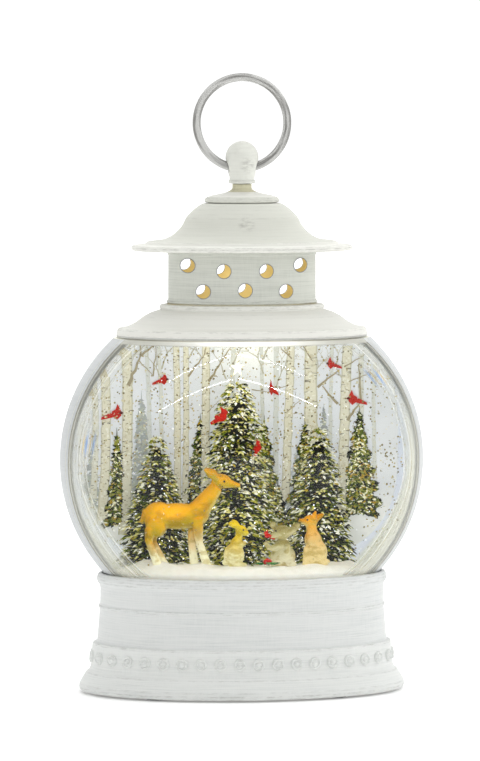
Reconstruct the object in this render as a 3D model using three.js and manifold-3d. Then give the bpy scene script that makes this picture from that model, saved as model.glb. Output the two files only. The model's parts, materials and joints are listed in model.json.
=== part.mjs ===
// Lighted snow-globe lantern: an oval water globe on a hollow base, under a lantern roof with a carry ring.
// Millimetres, +Z up, front towards -Y, origin on the table under the middle of the base.
// Casing sections are ovals, DEPTH_RATIO as deep as they are wide; outlines give half-widths against height.

import * as THREE from 'three';
import { mergeVertices } from 'three/addons/utils/BufferGeometryUtils.js';
import { ConvexGeometry } from 'three/addons/geometries/ConvexGeometry.js';
import Module from 'manifold-3d';

const wasm = await Module();
wasm.setup();

// ---------------------------------------------------------------- driving dimensions

const DEPTH_RATIO = 0.52;
const GAP = 0.3; // clearance between neighbouring pieces
const WALL = 2.5; // moulded plastic

const OVAL_SIDES = 24;
const GLOBE_RINGS = 12;
const ROUND_SIDES = 16;
const SMALL_SIDES = 8;

const BASE_OUTLINE = [
  [75.8, 1.0], [76.6, 2.6], [75.7, 5.6], [73.3, 9.9], // foot moulding
  [71.9, 11.3], [70.3, 23.3], // bead band
  [68.3, 24.4], [66.7, 42.3], [66.7, 49.8], // plain wall
  [67.3, 51.7], [68.2, 53.6], [67.5, 56.4], // rim roll
];
const BASE_SEAT = [[64.5, 44.7], [64.5, 50], [66.8, 53.6], [67.7, 56.8]]; // recess for the globe
const BASE_ROOM = [[76.2, -1], [76.2, 6.6], [70.3, 12], [67.6, 24], [66.7, 41.5]]; // room for the works
const SHELF = { underside: 41.5, top: 44.7, opening: 45 };

const GLOBE = { halfWidth: 85.5, halfDepth: 44.5, halfHeight: 81.3, middle: 109, bottom: 50, top: 166.6 };
const SEAM_Y = -10; // the clear front half and the painted back half meet here

const SKIRT_OUTLINE = [
  [58.8, 166.9], [58.5, 168.7], [58.0, 171.1], // drip edge
  [55.5, 171.8], [51.2, 173.0], [46.1, 176.7], [42.5, 178.6], [37.8, 180.0], // shoulder
  [38.4, 181.2], [37.8, 182.4], // neck ring
];
const SKIRT_HOLLOW = [[58.8, 165.9], [58.2, 169.4], [52, 171], [46, 174.4], [39, 180]];
const GALLERY = { halfWidth: 34.6, bottom: 182.7, top: 207.0, flange: 2, opening: 24, holeRadius: 3.35 };
const VENT_HOLES = [
  [-26.3, 200.9], [-9.9, 198.4], [9.9, 198.4], [26.3, 200.9], // upper row
  [-19.3, 188.9], [0, 189.5], [19.3, 188.9], // lower row
];
const ROOF_OUTLINE = [
  [51.2, 207.3], [51.8, 208.7], [51.4, 209.9], // brim
  [45.1, 210.6], [44.0, 211.7], [35.7, 212.7], [32.0, 215.0], [27.5, 219.5], // lower slope
  [26.6, 221.8], [23.7, 225.6], [18.6, 229.3], // crown
];
const ROOF_HOLLOW = [[31, 204.3], [31, 209.8], [27, 215.5], [22, 222.5], [16, 227.3]];
const CAP_OUTLINE = [[17.2, 229.6], [17.4, 230.4], [16.4, 232.2], [13.5, 233.4]];
const CAP_FLARE_OUTLINE = [[8.2, 232.6], [7.2, 234.4], [4.9, 236.4], [4.5, 238.2]];
const KNOB = {
  collarRadius: 6.25, collarBottom: 238.5, neckRadius: 5.6,
  ballBottom: 240.1, ballRadius: 7.65, ballMiddle: 250.6,
};
const KNOB_SCREW = {
  headRadius: 3.2, headHeight: 2, headBottom: 225, shankRadius: 1.5, shankTop: 242, holeRadius: 1.8,
};
const RING = { radius: 21.2, wireRadius: 1.9, middle: 266.7, boreRadius: 2.95, boreHeight: 246.2 };

const PLATE = { underside: 3, thickness: 3 };
const PLATE_TOP = PLATE.underside + PLATE.thickness;
const PAD = { radius: 5.5, x: 42, y: 23 };
const CELL = { radius: 7.1, length: 50, pitch: 15.3 };
const BAY = { halfLength: 28.5, halfWidth: 23.4, depth: 14.9, ledge: 2, wall: 2 };
const DOOR = { thickness: 2, recess: 0.4, pinRadius: 0.9, pinLength: 2.3 };
const DOOR_X = BAY.halfLength + BAY.ledge - GAP;
const DOOR_Y = BAY.halfWidth + BAY.ledge - GAP;
const DOOR_TOP = PLATE.underside + DOOR.recess + DOOR.thickness;
const HINGE_Y = DOOR_Y - DOOR.thickness / 2;
const HINGE_Z = DOOR_TOP - DOOR.thickness / 2;
const CONTACT = { halfLength: 21, halfHeight: 5, thickness: 0.6 };
const TONGUE = { width: 4, height: 5.4, thickness: 0.5, tilt: 0.28 };
const PLATE_SCREW = { x: 61, y: 13.5, headRadius: 2.8, headHeight: 1.1, shankRadius: 1.2, length: 12 };
const SCREW_POST = { radius: 4, pilotRadius: 1.5, boreTop: 18, top: 22 };
const SWITCH = { x: 57, halfWidth: 3.4, halfLength: 6.5, height: 5, slotHalfWidth: 1.8, slotHalfLength: 4.4 };
const SLIDER = { halfWidth: 1.5, halfLength: 2, tip: 1.6, depth: 1.6 };
const BOARD_THICKNESS = 1.6;

const PLUG = { halfWidth: 58.5, bottom: 45, flange: 3.2, floor: 2, rim: 55.2, collarInset: 5.2 };
const GLOBE_SCREW = {
  x: 48.5, bossRadius: 3.5, headRadius: 2.8, headHeight: 2, shankRadius: 1.2, holeRadius: 1.6,
};
const GASKET = { thickness: 1.2, width: 3.4 };
const GROUND = { bottom: 55.5, halfWidth: 57, level: 62.6, levelHalfWidth: 48, edge: 58.5 };
const FLOW_HOLES = [[-22, 25], [22, 25], [-50, 4], [50, 4]]; // let the stirred water rise through the snow
const BACKDROP = {
  halfWidth: 66, halfHeight: 50, thickness: 1.2, middle: 113, front: 19.8, foot: 59.5, tab: 40,
};

const MOTOR = { radius: 12.2, bottom: 23.5, top: 35.5, shaftRadius: 1, shaftTop: 41.6 };
const CARRIER = { radius: 11, bottom: 37.4, thickness: 3 };
const DRIVE_MAGNET = { inner: 3.5, outer: 9, thickness: 2.6 };
const IMPELLER = {
  radius: 10, hubRadius: 3, boreRadius: 1.05, plateBottom: 49.9, plateTop: 50.9, bladeTop: 54.4, blades: 6,
};
const PIN_RADIUS = 0.75;
const BRACKET = { armBottom: 28.3, armTop: 31.3, halfLength: 47, halfDepth: 4, cupRadius: 14.8, cupTop: 33 };
const BRACKET_POST = { x: 42, radius: 4, top: 28, pegRadius: 1.5, pegTop: 32.2, holeRadius: 1.8 };
const LAMPS = { x: 24, boardZ: 38.2, boardHalfWidth: 38, pillarX: 28.8, pillarRadius: 2.2 };
const FEET_Z = GROUND.level + GAP; // figures and trees stand here

// ---------------------------------------------------------------- solid helpers

/** A manifold solid from a closed three.js geometry, with slivers at the poles dropped. */
function toSolid(geometry) {
  const bare = geometry.clone();
  bare.deleteAttribute('normal');
  bare.deleteAttribute('uv');
  const merged = mergeVertices(bare, 1e-4);
  const corners = merged.index.array;
  const kept = [];
  for (let i = 0; i < corners.length; i += 3) {
    const [a, b, c] = [corners[i], corners[i + 1], corners[i + 2]];
    if (a !== b && b !== c && c !== a) kept.push(a, b, c);
  }
  return new wasm.Manifold(new wasm.Mesh({
    numProp: 3,
    vertProperties: merged.attributes.position.array,
    triVerts: new Uint32Array(kept),
  }));
}

/** The three.js geometry of a manifold solid. */
function toGeometry(solid) {
  const mesh = solid.getMesh();
  const geometry = new THREE.BufferGeometry();
  geometry.setAttribute('position', new THREE.BufferAttribute(new Float32Array(mesh.vertProperties), 3));
  geometry.setIndex(new THREE.BufferAttribute(new Uint32Array(mesh.triVerts), 1));
  return geometry;
}

function join(...solids) {
  return solids.reduce((whole, solid) => whole.add(solid));
}

/** Turns an outline about Z. It is closed onto the axis at both ends. */
function turned(outline, sides = ROUND_SIDES) {
  const points = [[0, outline[0][1]], ...outline, [0, outline.at(-1)[1]]];
  const geometry = new THREE.LatheGeometry(points.map(([r, z]) => new THREE.Vector2(r, z)), sides);
  return geometry.rotateX(Math.PI / 2);
}

/** Turns an outline of half-widths into a casing oval, then moves its skin inwards by inset. */
function oval(outline, inset = 0) {
  const geometry = turned(outline, OVAL_SIDES);
  const position = geometry.attributes.position;
  for (let i = 0; i < position.count; i += 1) {
    const [x, y] = [position.getX(i), position.getY(i)];
    const halfWidth = Math.hypot(x, y);
    if (halfWidth > 1e-6) {
      position.setX(i, x * (1 - inset / halfWidth));
      position.setY(i, y * (DEPTH_RATIO - inset / halfWidth));
    }
  }
  return toSolid(geometry);
}

/** A straight-sided casing oval between two heights. */
function ovalDisc(halfWidth, bottom, top, inset = 0) {
  return oval([[halfWidth, bottom], [halfWidth, top]], inset);
}

function disc(radius, bottom, top, [x, y] = [0, 0], sides = ROUND_SIDES) {
  return toSolid(turned([[radius, bottom], [radius, top]], sides).translate(x, y, 0));
}

/** A slim upright cylinder on the part's axis. */
function upright(radius, bottom, top) {
  return disc(radius, bottom, top, [0, 0], SMALL_SIDES);
}

/** Two slim upright cylinders on the X axis, left and right of the middle. */
function atEnds(x, radius, bottom, top) {
  return [-x, x].map((place) => disc(radius, bottom, top, [place, 0], SMALL_SIDES));
}

/** Four slim upright cylinders on the axes of the bottom plate's screws. */
function atPlateScrews(radius, bottom, top) {
  const { x, y } = PLATE_SCREW;
  return atCorners((sideX, sideY) => disc(radius, bottom, top, [sideX * x, sideY * y], SMALL_SIDES));
}

/** A plain screw on its own axis with its head below. */
function screw(headRadius, headBottom, headTop, shankRadius, shankTop) {
  const head = [[headRadius, headBottom], [headRadius, headTop]];
  const shank = [[shankRadius, headTop], [shankRadius, shankTop]];
  return turned([...head, ...shank], SMALL_SIDES);
}

/** A rod along X or Y between two places on that axis. */
function rod(axis, radius, from, to, [u, v], sides = SMALL_SIDES) {
  const geometry = new THREE.CylinderGeometry(radius, radius, to - from, sides);
  if (axis === 'x') geometry.rotateZ(Math.PI / 2).translate((from + to) / 2, u, v);
  else geometry.translate(u, (from + to) / 2, v);
  return toSolid(geometry);
}

function block([x0, y0, z0], [x1, y1, z1]) {
  const geometry = new THREE.BoxGeometry(x1 - x0, y1 - y0, z1 - z0);
  return toSolid(geometry.translate((x0 + x1) / 2, (y0 + y1) / 2, (z0 + z1) / 2));
}

/** A block around the Z axis, given by its half-sides and its two heights. */
function centredBlock(halfX, halfY, bottom, top) {
  return block([-halfX, -halfY, bottom], [halfX, halfY, top]);
}

function ellipsoid([x, y, z], [rx, ry, rz], sides = 8, rings = 4) {
  const geometry = new THREE.SphereGeometry(1, sides, rings).rotateX(Math.PI / 2);
  return toSolid(geometry.scale(rx, ry, rz).translate(x, y, z));
}

/** A tapered limb between two points. */
function limb(from, to, fromRadius, toRadius, sides = 5) {
  const start = new THREE.Vector3(...from);
  const along = new THREE.Vector3(...to).sub(start);
  const geometry = new THREE.CylinderGeometry(toRadius, fromRadius, along.length(), sides);
  const up = new THREE.Vector3(0, 1, 0);
  const turn = new THREE.Quaternion().setFromUnitVectors(up, along.clone().normalize());
  const middle = start.addScaledVector(along, 0.5);
  return toSolid(geometry.applyQuaternion(turn).translate(middle.x, middle.y, middle.z));
}

/** What make(sideX, sideY) gives for the four corners of a rectangle. */
function atCorners(make) {
  return [[-1, -1], [1, -1], [-1, 1], [1, 1]].map(([sideX, sideY]) => make(sideX, sideY));
}

// ---------------------------------------------------------------- finishes

function finish(color, roughness, metalness = 0, opacity = 1) {
  return new THREE.MeshStandardMaterial({ color, roughness, metalness, opacity, transparent: opacity < 1 });
}

const FINISH = {
  paint: finish(0xe9e8e2, 0.6),
  ringPaint: finish(0xb9b5ac, 0.45, 0.6),
  clear: finish(0xf4fbff, 0.05, 0, 0.25),
  water: finish(0xe8f6fb, 0.02, 0, 0.2),
  print: finish(0xbfcfdd, 0.7),
  snow: finish(0xfdf6e6, 0.8),
  spruce: finish(0x2f4a3a, 0.8),
  star: finish(0xffe6a0, 0.4),
  fawn: finish(0xe09a35, 0.45),
  straw: finish(0xd9b24c, 0.5),
  greyFur: finish(0xa79c88, 0.6),
  foxFur: finish(0xd8963f, 0.5),
  red: finish(0xc02418, 0.45),
  holly: finish(0x3d6a35, 0.5),
  steel: finish(0xc9ccd0, 0.3, 1),
  magnet: finish(0x8d9094, 0.35, 1),
  whitePlastic: finish(0xe8e6df, 0.5),
  blackPlastic: finish(0x26282a, 0.5),
  rubber: finish(0x8e9093, 0.9),
  board: finish(0x2d6b3f, 0.6),
  cell: finish(0x3f5d86, 0.35, 0.3),
  lamp: finish(0xffe9b8, 0.2),
};

// ---------------------------------------------------------------- lantern top

function carryRing() {
  return new THREE.TorusGeometry(RING.radius, RING.wireRadius, 8, 32).rotateX(Math.PI / 2);
}

/** Ball on a collar, bored through along X for the ring and from below for its screw. */
function finialKnob() {
  const { collarRadius, collarBottom, neckRadius, ballBottom, ballRadius, ballMiddle } = KNOB;
  const collar = disc(collarRadius, collarBottom, ballBottom);
  const ball = ellipsoid([0, 0, ballMiddle], [ballRadius, ballRadius, ballRadius], ROUND_SIDES, 10);
  const neck = disc(neckRadius, collarBottom, ballMiddle - ballRadius / 2);
  const ringBore = rod('x', RING.boreRadius, -2 * ballRadius, 2 * ballRadius, [0, RING.boreHeight], 12);
  const screwBore = upright(KNOB_SCREW.holeRadius, collarBottom - 1, KNOB_SCREW.shankTop + 0.4);
  return toGeometry(join(collar, neck, ball).subtract(ringBore).subtract(screwBore));
}

/** Screw that holds the knob and the cap down onto the roof crown. */
function finialScrew() {
  const { headRadius, headHeight, headBottom, shankRadius, shankTop } = KNOB_SCREW;
  return screw(headRadius, headBottom, headBottom + headHeight, shankRadius, shankTop);
}

function roofCap() {
  const bore = upright(KNOB_SCREW.holeRadius, CAP_OUTLINE[0][1] - 1, KNOB.collarBottom);
  return toGeometry(oval(CAP_OUTLINE).add(toSolid(turned(CAP_FLARE_OUTLINE))).subtract(bore));
}

/** Flared lantern roof, hollow underneath, with a spigot that drops into the gallery. */
function roof() {
  const [brimZ, crownZ] = [ROOF_OUTLINE[0][1], ROOF_OUTLINE.at(-1)[1]];
  const hollow = oval(ROOF_HOLLOW, 0.5);
  const spigot = ovalDisc(GALLERY.halfWidth, brimZ - 2.4, brimZ + 1, WALL + GAP);
  const bore = upright(KNOB_SCREW.holeRadius, crownZ - 4, crownZ + 1);
  return toGeometry(oval(ROOF_OUTLINE).add(spigot).subtract(hollow).subtract(bore));
}

/** Oval collar under the roof with round vent holes drilled from front to back. */
function ventGallery() {
  const { halfWidth, bottom, top, flange, opening, holeRadius } = GALLERY;
  const hollow = ovalDisc(halfWidth, bottom + flange, top + 1, WALL);
  const lightWell = ovalDisc(opening, bottom - 1, bottom + flange + 1);
  const body = ovalDisc(halfWidth, bottom, top).subtract(hollow).subtract(lightWell);
  const holes = VENT_HOLES.map(([x, z]) => rod('y', holeRadius, -halfWidth, halfWidth, [x, z], 10));
  return toGeometry(body.subtract(join(...holes)));
}

/** Shoulder cover that carries the gallery and hides the top of the globe. */
function shoulderSkirt() {
  const neckZ = SKIRT_OUTLINE.at(-1)[1];
  const lightWell = ovalDisc(GALLERY.opening, neckZ - 4, neckZ + 1);
  return toGeometry(oval(SKIRT_OUTLINE).subtract(oval(SKIRT_HOLLOW, 2.2)).subtract(lightWell));
}

// ---------------------------------------------------------------- globe

/** The globe's ellipsoid, moved inwards by inset, between its flat bottom and its flat lid. */
function globeSolid(inset, bottom, top) {
  const { halfWidth, halfDepth, halfHeight, middle } = GLOBE;
  const radii = [halfWidth - inset, halfDepth - inset, halfHeight - inset];
  const slab = block([-halfWidth, -halfWidth, bottom], [halfWidth, halfWidth, top]);
  return ellipsoid([0, 0, middle], radii, OVAL_SIDES, GLOBE_RINGS).intersect(slab);
}

/** One half of the globe: side -1 is the clear front, side 1 the painted back. */
function globeHalf(side) {
  const { halfWidth, bottom, top } = GLOBE;
  const shell = globeSolid(0, bottom, top).subtract(globeSolid(WALL, bottom - 1, top - WALL));
  const seam = SEAM_Y + side * GAP / 2;
  const reach = side * 2 * halfWidth;
  const [near, far] = [Math.min(seam, reach), Math.max(seam, reach)];
  return toGeometry(shell.intersect(block([-2 * halfWidth, near, 0], [2 * halfWidth, far, 2 * top])));
}

/** Closes the globe from below. Its collar carries the snow and its thin floor lets the magnets couple. */
function globePlug() {
  const { halfWidth, bottom, flange, floor, rim, collarInset } = PLUG;
  const plate = ovalDisc(halfWidth, bottom, bottom + flange);
  const collar = ovalDisc(halfWidth + GAP, bottom, rim, collarInset);
  const chamber = ovalDisc(halfWidth + GAP, bottom + floor, rim + 1, collarInset + WALL);
  const bosses = atEnds(GLOBE_SCREW.x, GLOBE_SCREW.bossRadius, bottom, rim - 2);
  const bores = atEnds(GLOBE_SCREW.x, SCREW_POST.pilotRadius, bottom - 1, rim - 4);
  const pinBoss = upright(2.2, bottom - 1.5, bottom + floor);
  const pinBore = upright(PIN_RADIUS + GAP, bottom - 0.5, bottom + floor + 1);
  const tub = join(plate, collar).subtract(chamber);
  return toGeometry(join(tub, pinBoss, ...bosses).subtract(join(pinBore, ...bores)));
}

/** Screw from below the base shelf into the plug. */
function globeScrew() {
  const headTop = SHELF.underside - GAP;
  const { headRadius, headHeight, shankRadius } = GLOBE_SCREW;
  return screw(headRadius, headTop - headHeight, headTop, shankRadius, PLUG.rim - 4.4);
}

function plugGasket() {
  const bottom = PLUG.bottom + PLUG.flange + GAP;
  const top = bottom + GASKET.thickness;
  const ring = ovalDisc(PLUG.halfWidth, bottom, top);
  return toGeometry(ring.subtract(ovalDisc(PLUG.halfWidth, bottom - 1, top + 1, GASKET.width)));
}

// ---------------------------------------------------------------- winter scene

/** Snow that the figures stand on: a level top, a soft edge and holes that let the stirred water rise. */
function snowGround() {
  const { bottom, halfWidth, level, levelHalfWidth, edge } = GROUND;
  const body = oval([
    [halfWidth - 2, bottom], [halfWidth, bottom + 1], [halfWidth, edge], [levelHalfWidth, level],
  ]);
  const flowHoles = FLOW_HOLES.map((at) => disc(2, bottom - 1, level + 1, at, SMALL_SIDES));
  const { front, thickness, foot, tab } = BACKDROP;
  const slot = block([-tab - 5, front - GAP, foot - GAP], [tab + 5, front + thickness + GAP, level + 1]);
  const hubRoom = upright(IMPELLER.hubRadius + 1, bottom - 1, bottom + 1);
  return toGeometry(body.subtract(join(...flowHoles)).subtract(slot).subtract(hubRoom));
}

/** Thin printed panel behind the trees, with a foot that stands in the snow's slot. */
function sceneBackdrop() {
  const { halfWidth, halfHeight, thickness, middle, foot, tab } = BACKDROP;
  const panel = new THREE.CylinderGeometry(1, 1, thickness, OVAL_SIDES).scale(halfWidth, 1, halfHeight);
  const stand = block([-tab, -thickness / 2, foot - middle], [tab, thickness / 2, -halfHeight * 0.75]);
  return toGeometry(toSolid(panel).add(stand));
}

/** A flattened spruce with stepped skirts of branches, standing on its own origin. */
function spruce(halfWidth, halfDepth, height, tiers) {
  const outline = [[halfWidth * 0.55, 0]];
  for (let tier = 0; tier < tiers; tier += 1) {
    const reach = halfWidth * (1 - tier / tiers) ** 0.45;
    const low = height * (0.03 + 0.97 * tier / tiers);
    outline.push([reach, low], [reach * 0.72, low + height / tiers * 0.9]);
  }
  outline.push([0.5, height]);
  return turned(outline, 10).scale(1, halfDepth / halfWidth, 1);
}

/** Five-pointed star on the tip of the middle tree. */
function treeStar() {
  const shape = new THREE.Shape();
  const thickness = 1.6;
  for (let point = 0; point < 10; point += 1) {
    const radius = point % 2 ? 1.5 : 3.6;
    const angle = Math.PI / 2 + point * Math.PI / 5;
    const [x, z] = [radius * Math.cos(angle), radius * Math.sin(angle)];
    if (point) shape.lineTo(x, z);
    else shape.moveTo(x, z);
  }
  const geometry = new THREE.ExtrudeGeometry(shape, { depth: thickness, bevelEnabled: false });
  return geometry.rotateX(Math.PI / 2).translate(0, thickness / 2, 0);
}

/** Deer standing with its head turned up towards +X. Its origin is on the snow between its hooves. */
function deer() {
  const trunk = join(
    ellipsoid([1, 0, 21.5], [15, 4.8, 6.6]),
    ellipsoid([-9, 0, 22], [7, 4.8, 7.2]),
    ellipsoid([11, 0, 22], [7, 4.4, 7.4]),
    limb([13, 0, 24], [18.2, 0, 35], 4.4, 2.8),
    ellipsoid([20.6, 0, 35.6], [6.2, 2.7, 3.1]),
    limb([22, 0, 35.2], [27.6, 0, 34.6], 2.2, 1.1),
    limb([-14.5, 0, 25], [-16.5, 0, 20.8], 1.6, 0.9),
  );
  const sides = [-1, 1].map((side) => join(
    limb([18, side, 37], [13.4, side * 3.2, 42.6], 1.1, 1.4),
    limb([11, side * 2.2, 18], [8 + side, side * 2.2, 0], 2.1, 1.2),
    limb([-10, side * 2.2, 19], [-14, side * 2.2, 11], 3, 1.4),
    limb([-14.2, side * 2.2, 11.8], [-9.5 - side, side * 2.2, 0], 1.5, 1.2),
  ));
  return toGeometry(join(trunk, ...sides));
}

/** Rabbit sitting up, facing +X. */
function rabbit() {
  const ears = [-1, 1].map((side) => limb([1.2, side, 14.8], [-2.6, side * 1.6, 19.2], 0.9, 0.8));
  return toGeometry(join(
    ellipsoid([-0.6, 0, 5.2], [4.4, 3.6, 5.2]),
    limb([0, 0, 7], [1.6, 0, 13.4], 3, 2.2),
    ellipsoid([2.2, 0, 13.6], [3.4, 2.5, 2.6]),
    ellipsoid([-4.6, 0, 2.6], [1.5, 1.5, 1.5]),
    limb([2.4, -1.4, 5], [3.4, -1.4, 0], 1.2, 1.2),
    ...ears,
  ));
}

/** Raccoon sitting up with one paw held out towards -X. */
function raccoon() {
  const ears = [-1, 1].map((side) => ellipsoid([side * 3.3, 0.4, 17.2], [1.2, 0.9, 1.5], 6, 3));
  return toGeometry(join(
    ellipsoid([0, 0, 6], [5.4, 4.2, 6]),
    ellipsoid([0, -0.6, 14.6], [4.8, 3.6, 3.3]),
    limb([-2, -1, 14.4], [-5.6, -1.6, 13.8], 1.9, 1),
    limb([-2, -2, 8], [-9.6, -3, 11], 1.5, 1.2),
    limb([4, 2, 2], [6.2, 4, 5], 1.6, 1.2),
    ...ears,
  ));
}

/** Fox sitting up, looking towards -X. */
function fox() {
  const ears = [-1, 1].map((side) => limb([0.4, side * 1.5, 20], [2, side * 2.4, 23.6], 1.3, 0.4));
  return toGeometry(join(
    ellipsoid([1.6, 0, 6.6], [4.9, 3.8, 6.6]),
    limb([0.6, 0, 9], [-1, 0, 17], 3.1, 2.4),
    ellipsoid([-1, 0, 18.2], [3.7, 2.9, 2.9]),
    limb([-2.6, 0, 18.2], [-7, 0, 19.6], 1.9, 0.8),
    limb([-1.6, -1.4, 9], [-2.6, -1.6, 0], 1.5, 1.1),
    limb([5, 1, 1.8], [9.4, 2.2, 6.6], 1.7, 1.4),
    ...ears,
  ));
}

/** Small crested bird facing +X. */
function cardinal(size = 1) {
  return toGeometry(join(
    ellipsoid([0, 0, 2.2], [2.4, 1.6, 1.9], 6, 3),
    ellipsoid([1.8, 0, 4.2], [1.6, 1.2, 1.4], 6, 3),
    limb([1.4, 0, 4.6], [0.4, 0, 6.6], 0.9, 0.25, 4),
    limb([-1.2, 0, 1.8], [-5.2, 0, 0.8], 1.1, 0.5, 4),
  ).scale(size));
}

/** Three leaves and three berries lying on the snow. */
function hollySprig() {
  const leaves = [0.2, 2.2, 4.2].map((turn) => {
    const leaf = new THREE.SphereGeometry(1, 6, 3).rotateX(Math.PI / 2).scale(3, 1.3, 0.6);
    return toSolid(leaf.translate(2.8, 0, 1).rotateZ(turn));
  });
  const places = [[0.9, 0.4], [-0.9, 0.7], [0, -1]];
  const berries = places.map(([x, y]) => ellipsoid([x, y, 1.6], [1.1, 1.1, 1.1], 6, 3));
  return toGeometry(join(ellipsoid([0, 0, 1.2], [2, 2, 1.1], 6, 3), ...leaves, ...berries));
}

/** The convex space that a scene piece takes from the water, let down into the snow so that it stays open. */
function pocket(mesh) {
  mesh.updateMatrixWorld();
  const geometry = mesh.geometry.clone().applyMatrix4(mesh.matrixWorld);
  geometry.computeBoundingBox();
  const middle = geometry.boundingBox.getCenter(new THREE.Vector3());
  const size = geometry.boundingBox.getSize(new THREE.Vector3());
  const growth = new THREE.Vector3(1 + 2 / size.x, 1 + 2 / size.y, 1 + 1.6 / size.z);
  const points = [];
  for (let i = 0; i < geometry.attributes.position.count; i += 1) {
    const point = new THREE.Vector3().fromBufferAttribute(geometry.attributes.position, i);
    points.push(point.sub(middle).multiply(growth).add(middle));
  }
  return toSolid(new ConvexGeometry(points));
}

/** The water above the snow, open around every piece that stands in it. */
function waterFill(scenePieces) {
  const { bottom, halfWidth, level, levelHalfWidth, edge } = GROUND;
  const snow = oval([
    [halfWidth + 9, bottom - 9], [halfWidth + 9, edge], [levelHalfWidth + 1, level + GAP], [1, level + GAP],
  ]);
  const body = globeSolid(WALL + GAP, bottom, GLOBE.top - WALL - GAP).subtract(snow);
  return toGeometry(body.subtract(join(...scenePieces.map(pocket))));
}

// ---------------------------------------------------------------- stirring drive

function impeller() {
  const { radius, hubRadius, boreRadius, plateBottom, plateTop, bladeTop, blades } = IMPELLER;
  const outline = [[radius, plateBottom], [radius, plateTop], [hubRadius, plateTop], [hubRadius, bladeTop]];
  const vanes = [];
  for (let i = 0; i < blades; i += 1) {
    const vane = new THREE.BoxGeometry(radius - hubRadius + 1, 1, bladeTop - plateBottom - 0.2);
    vane.translate((radius + hubRadius - 1.4) / 2, 0, (bladeTop + plateBottom) / 2);
    vanes.push(toSolid(vane.rotateZ(2 * Math.PI * i / blades)));
  }
  const bore = upright(boreRadius, plateBottom - 1, bladeTop + 1);
  return toGeometry(join(toSolid(turned(outline)), ...vanes).subtract(bore));
}

/** Flat ring magnet between two heights. */
function ringMagnet(inner, outer, bottom, thickness) {
  const outline = [[inner, 0], [outer, 0], [outer, thickness], [inner, thickness], [inner, 0]];
  const points = outline.map(([r, z]) => new THREE.Vector2(r, z));
  return new THREE.LatheGeometry(points, ROUND_SIDES).rotateX(Math.PI / 2).translate(0, 0, bottom);
}

/** Upright pin that the impeller turns on, set in the plug's floor. */
function impellerPin() {
  return turned([[PIN_RADIUS, PLUG.bottom - 0.2], [PIN_RADIUS, IMPELLER.bladeTop + 0.7]], SMALL_SIDES);
}

function motor() {
  const { radius, bottom, top, shaftRadius } = MOTOR;
  const [noseRadius, noseHeight] = [4, 1.5];
  const can = turned([
    [radius - 1, bottom], [radius, bottom + 1], [radius, top - noseHeight],
    [noseRadius, top - noseHeight], [noseRadius, top],
  ]);
  return toGeometry(toSolid(can).subtract(upright(shaftRadius + GAP, top - 6, top + 1)));
}

function motorShaft() {
  return turned([[MOTOR.shaftRadius, MOTOR.top - 5.6], [MOTOR.shaftRadius, MOTOR.shaftTop]], SMALL_SIDES);
}

function magnetCarrier() {
  const { radius, bottom, thickness } = CARRIER;
  const top = bottom + thickness;
  const plate = disc(radius, bottom, top);
  const hub = disc(DRIVE_MAGNET.inner - GAP, bottom - 1, top + 1.6);
  return toGeometry(plate.add(hub).subtract(upright(MOTOR.shaftRadius + GAP, bottom - 2, top + 2)));
}

/** Bridge on two posts of the bottom plate. It grips the motor and holds the lamp board above. */
function motorBracket() {
  const { armBottom, armTop, halfLength, halfDepth, cupRadius, cupTop } = BRACKET;
  const arms = block([-halfLength, -halfDepth, armBottom], [halfLength, halfDepth, armTop]);
  const motorRoom = disc(MOTOR.radius + GAP, MOTOR.bottom - 1, cupTop + 1);
  const cup = disc(cupRadius, MOTOR.bottom + 1, cupTop);
  const pillars = atEnds(LAMPS.pillarX, LAMPS.pillarRadius, armBottom, LAMPS.boardZ - GAP);
  const pegHoles = atEnds(BRACKET_POST.x, BRACKET_POST.holeRadius, armBottom - 1, armTop + 1);
  return toGeometry(join(cup, arms, ...pillars).subtract(join(motorRoom, ...pegHoles)));
}

// ---------------------------------------------------------------- base

/** Hollow oval base with a shelf that the globe stands on and four screw posts. */
function baseShell() {
  const outer = oval(BASE_OUTLINE);
  const opening = ovalDisc(SHELF.opening, SHELF.underside - 1, SHELF.top + 1);
  const shell = outer.subtract(oval(BASE_ROOM, WALL)).subtract(oval(BASE_SEAT, 1)).subtract(opening);
  const posts = atPlateScrews(SCREW_POST.radius, PLATE_TOP + GAP, SCREW_POST.top);
  const bores = atPlateScrews(SCREW_POST.pilotRadius, 0, SCREW_POST.boreTop);
  const globeBores = atEnds(GLOBE_SCREW.x, GLOBE_SCREW.holeRadius, SHELF.underside - 1, SHELF.top + 1);
  return toGeometry(shell.add(join(...posts).intersect(outer)).subtract(join(...bores, ...globeBores)));
}

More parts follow.
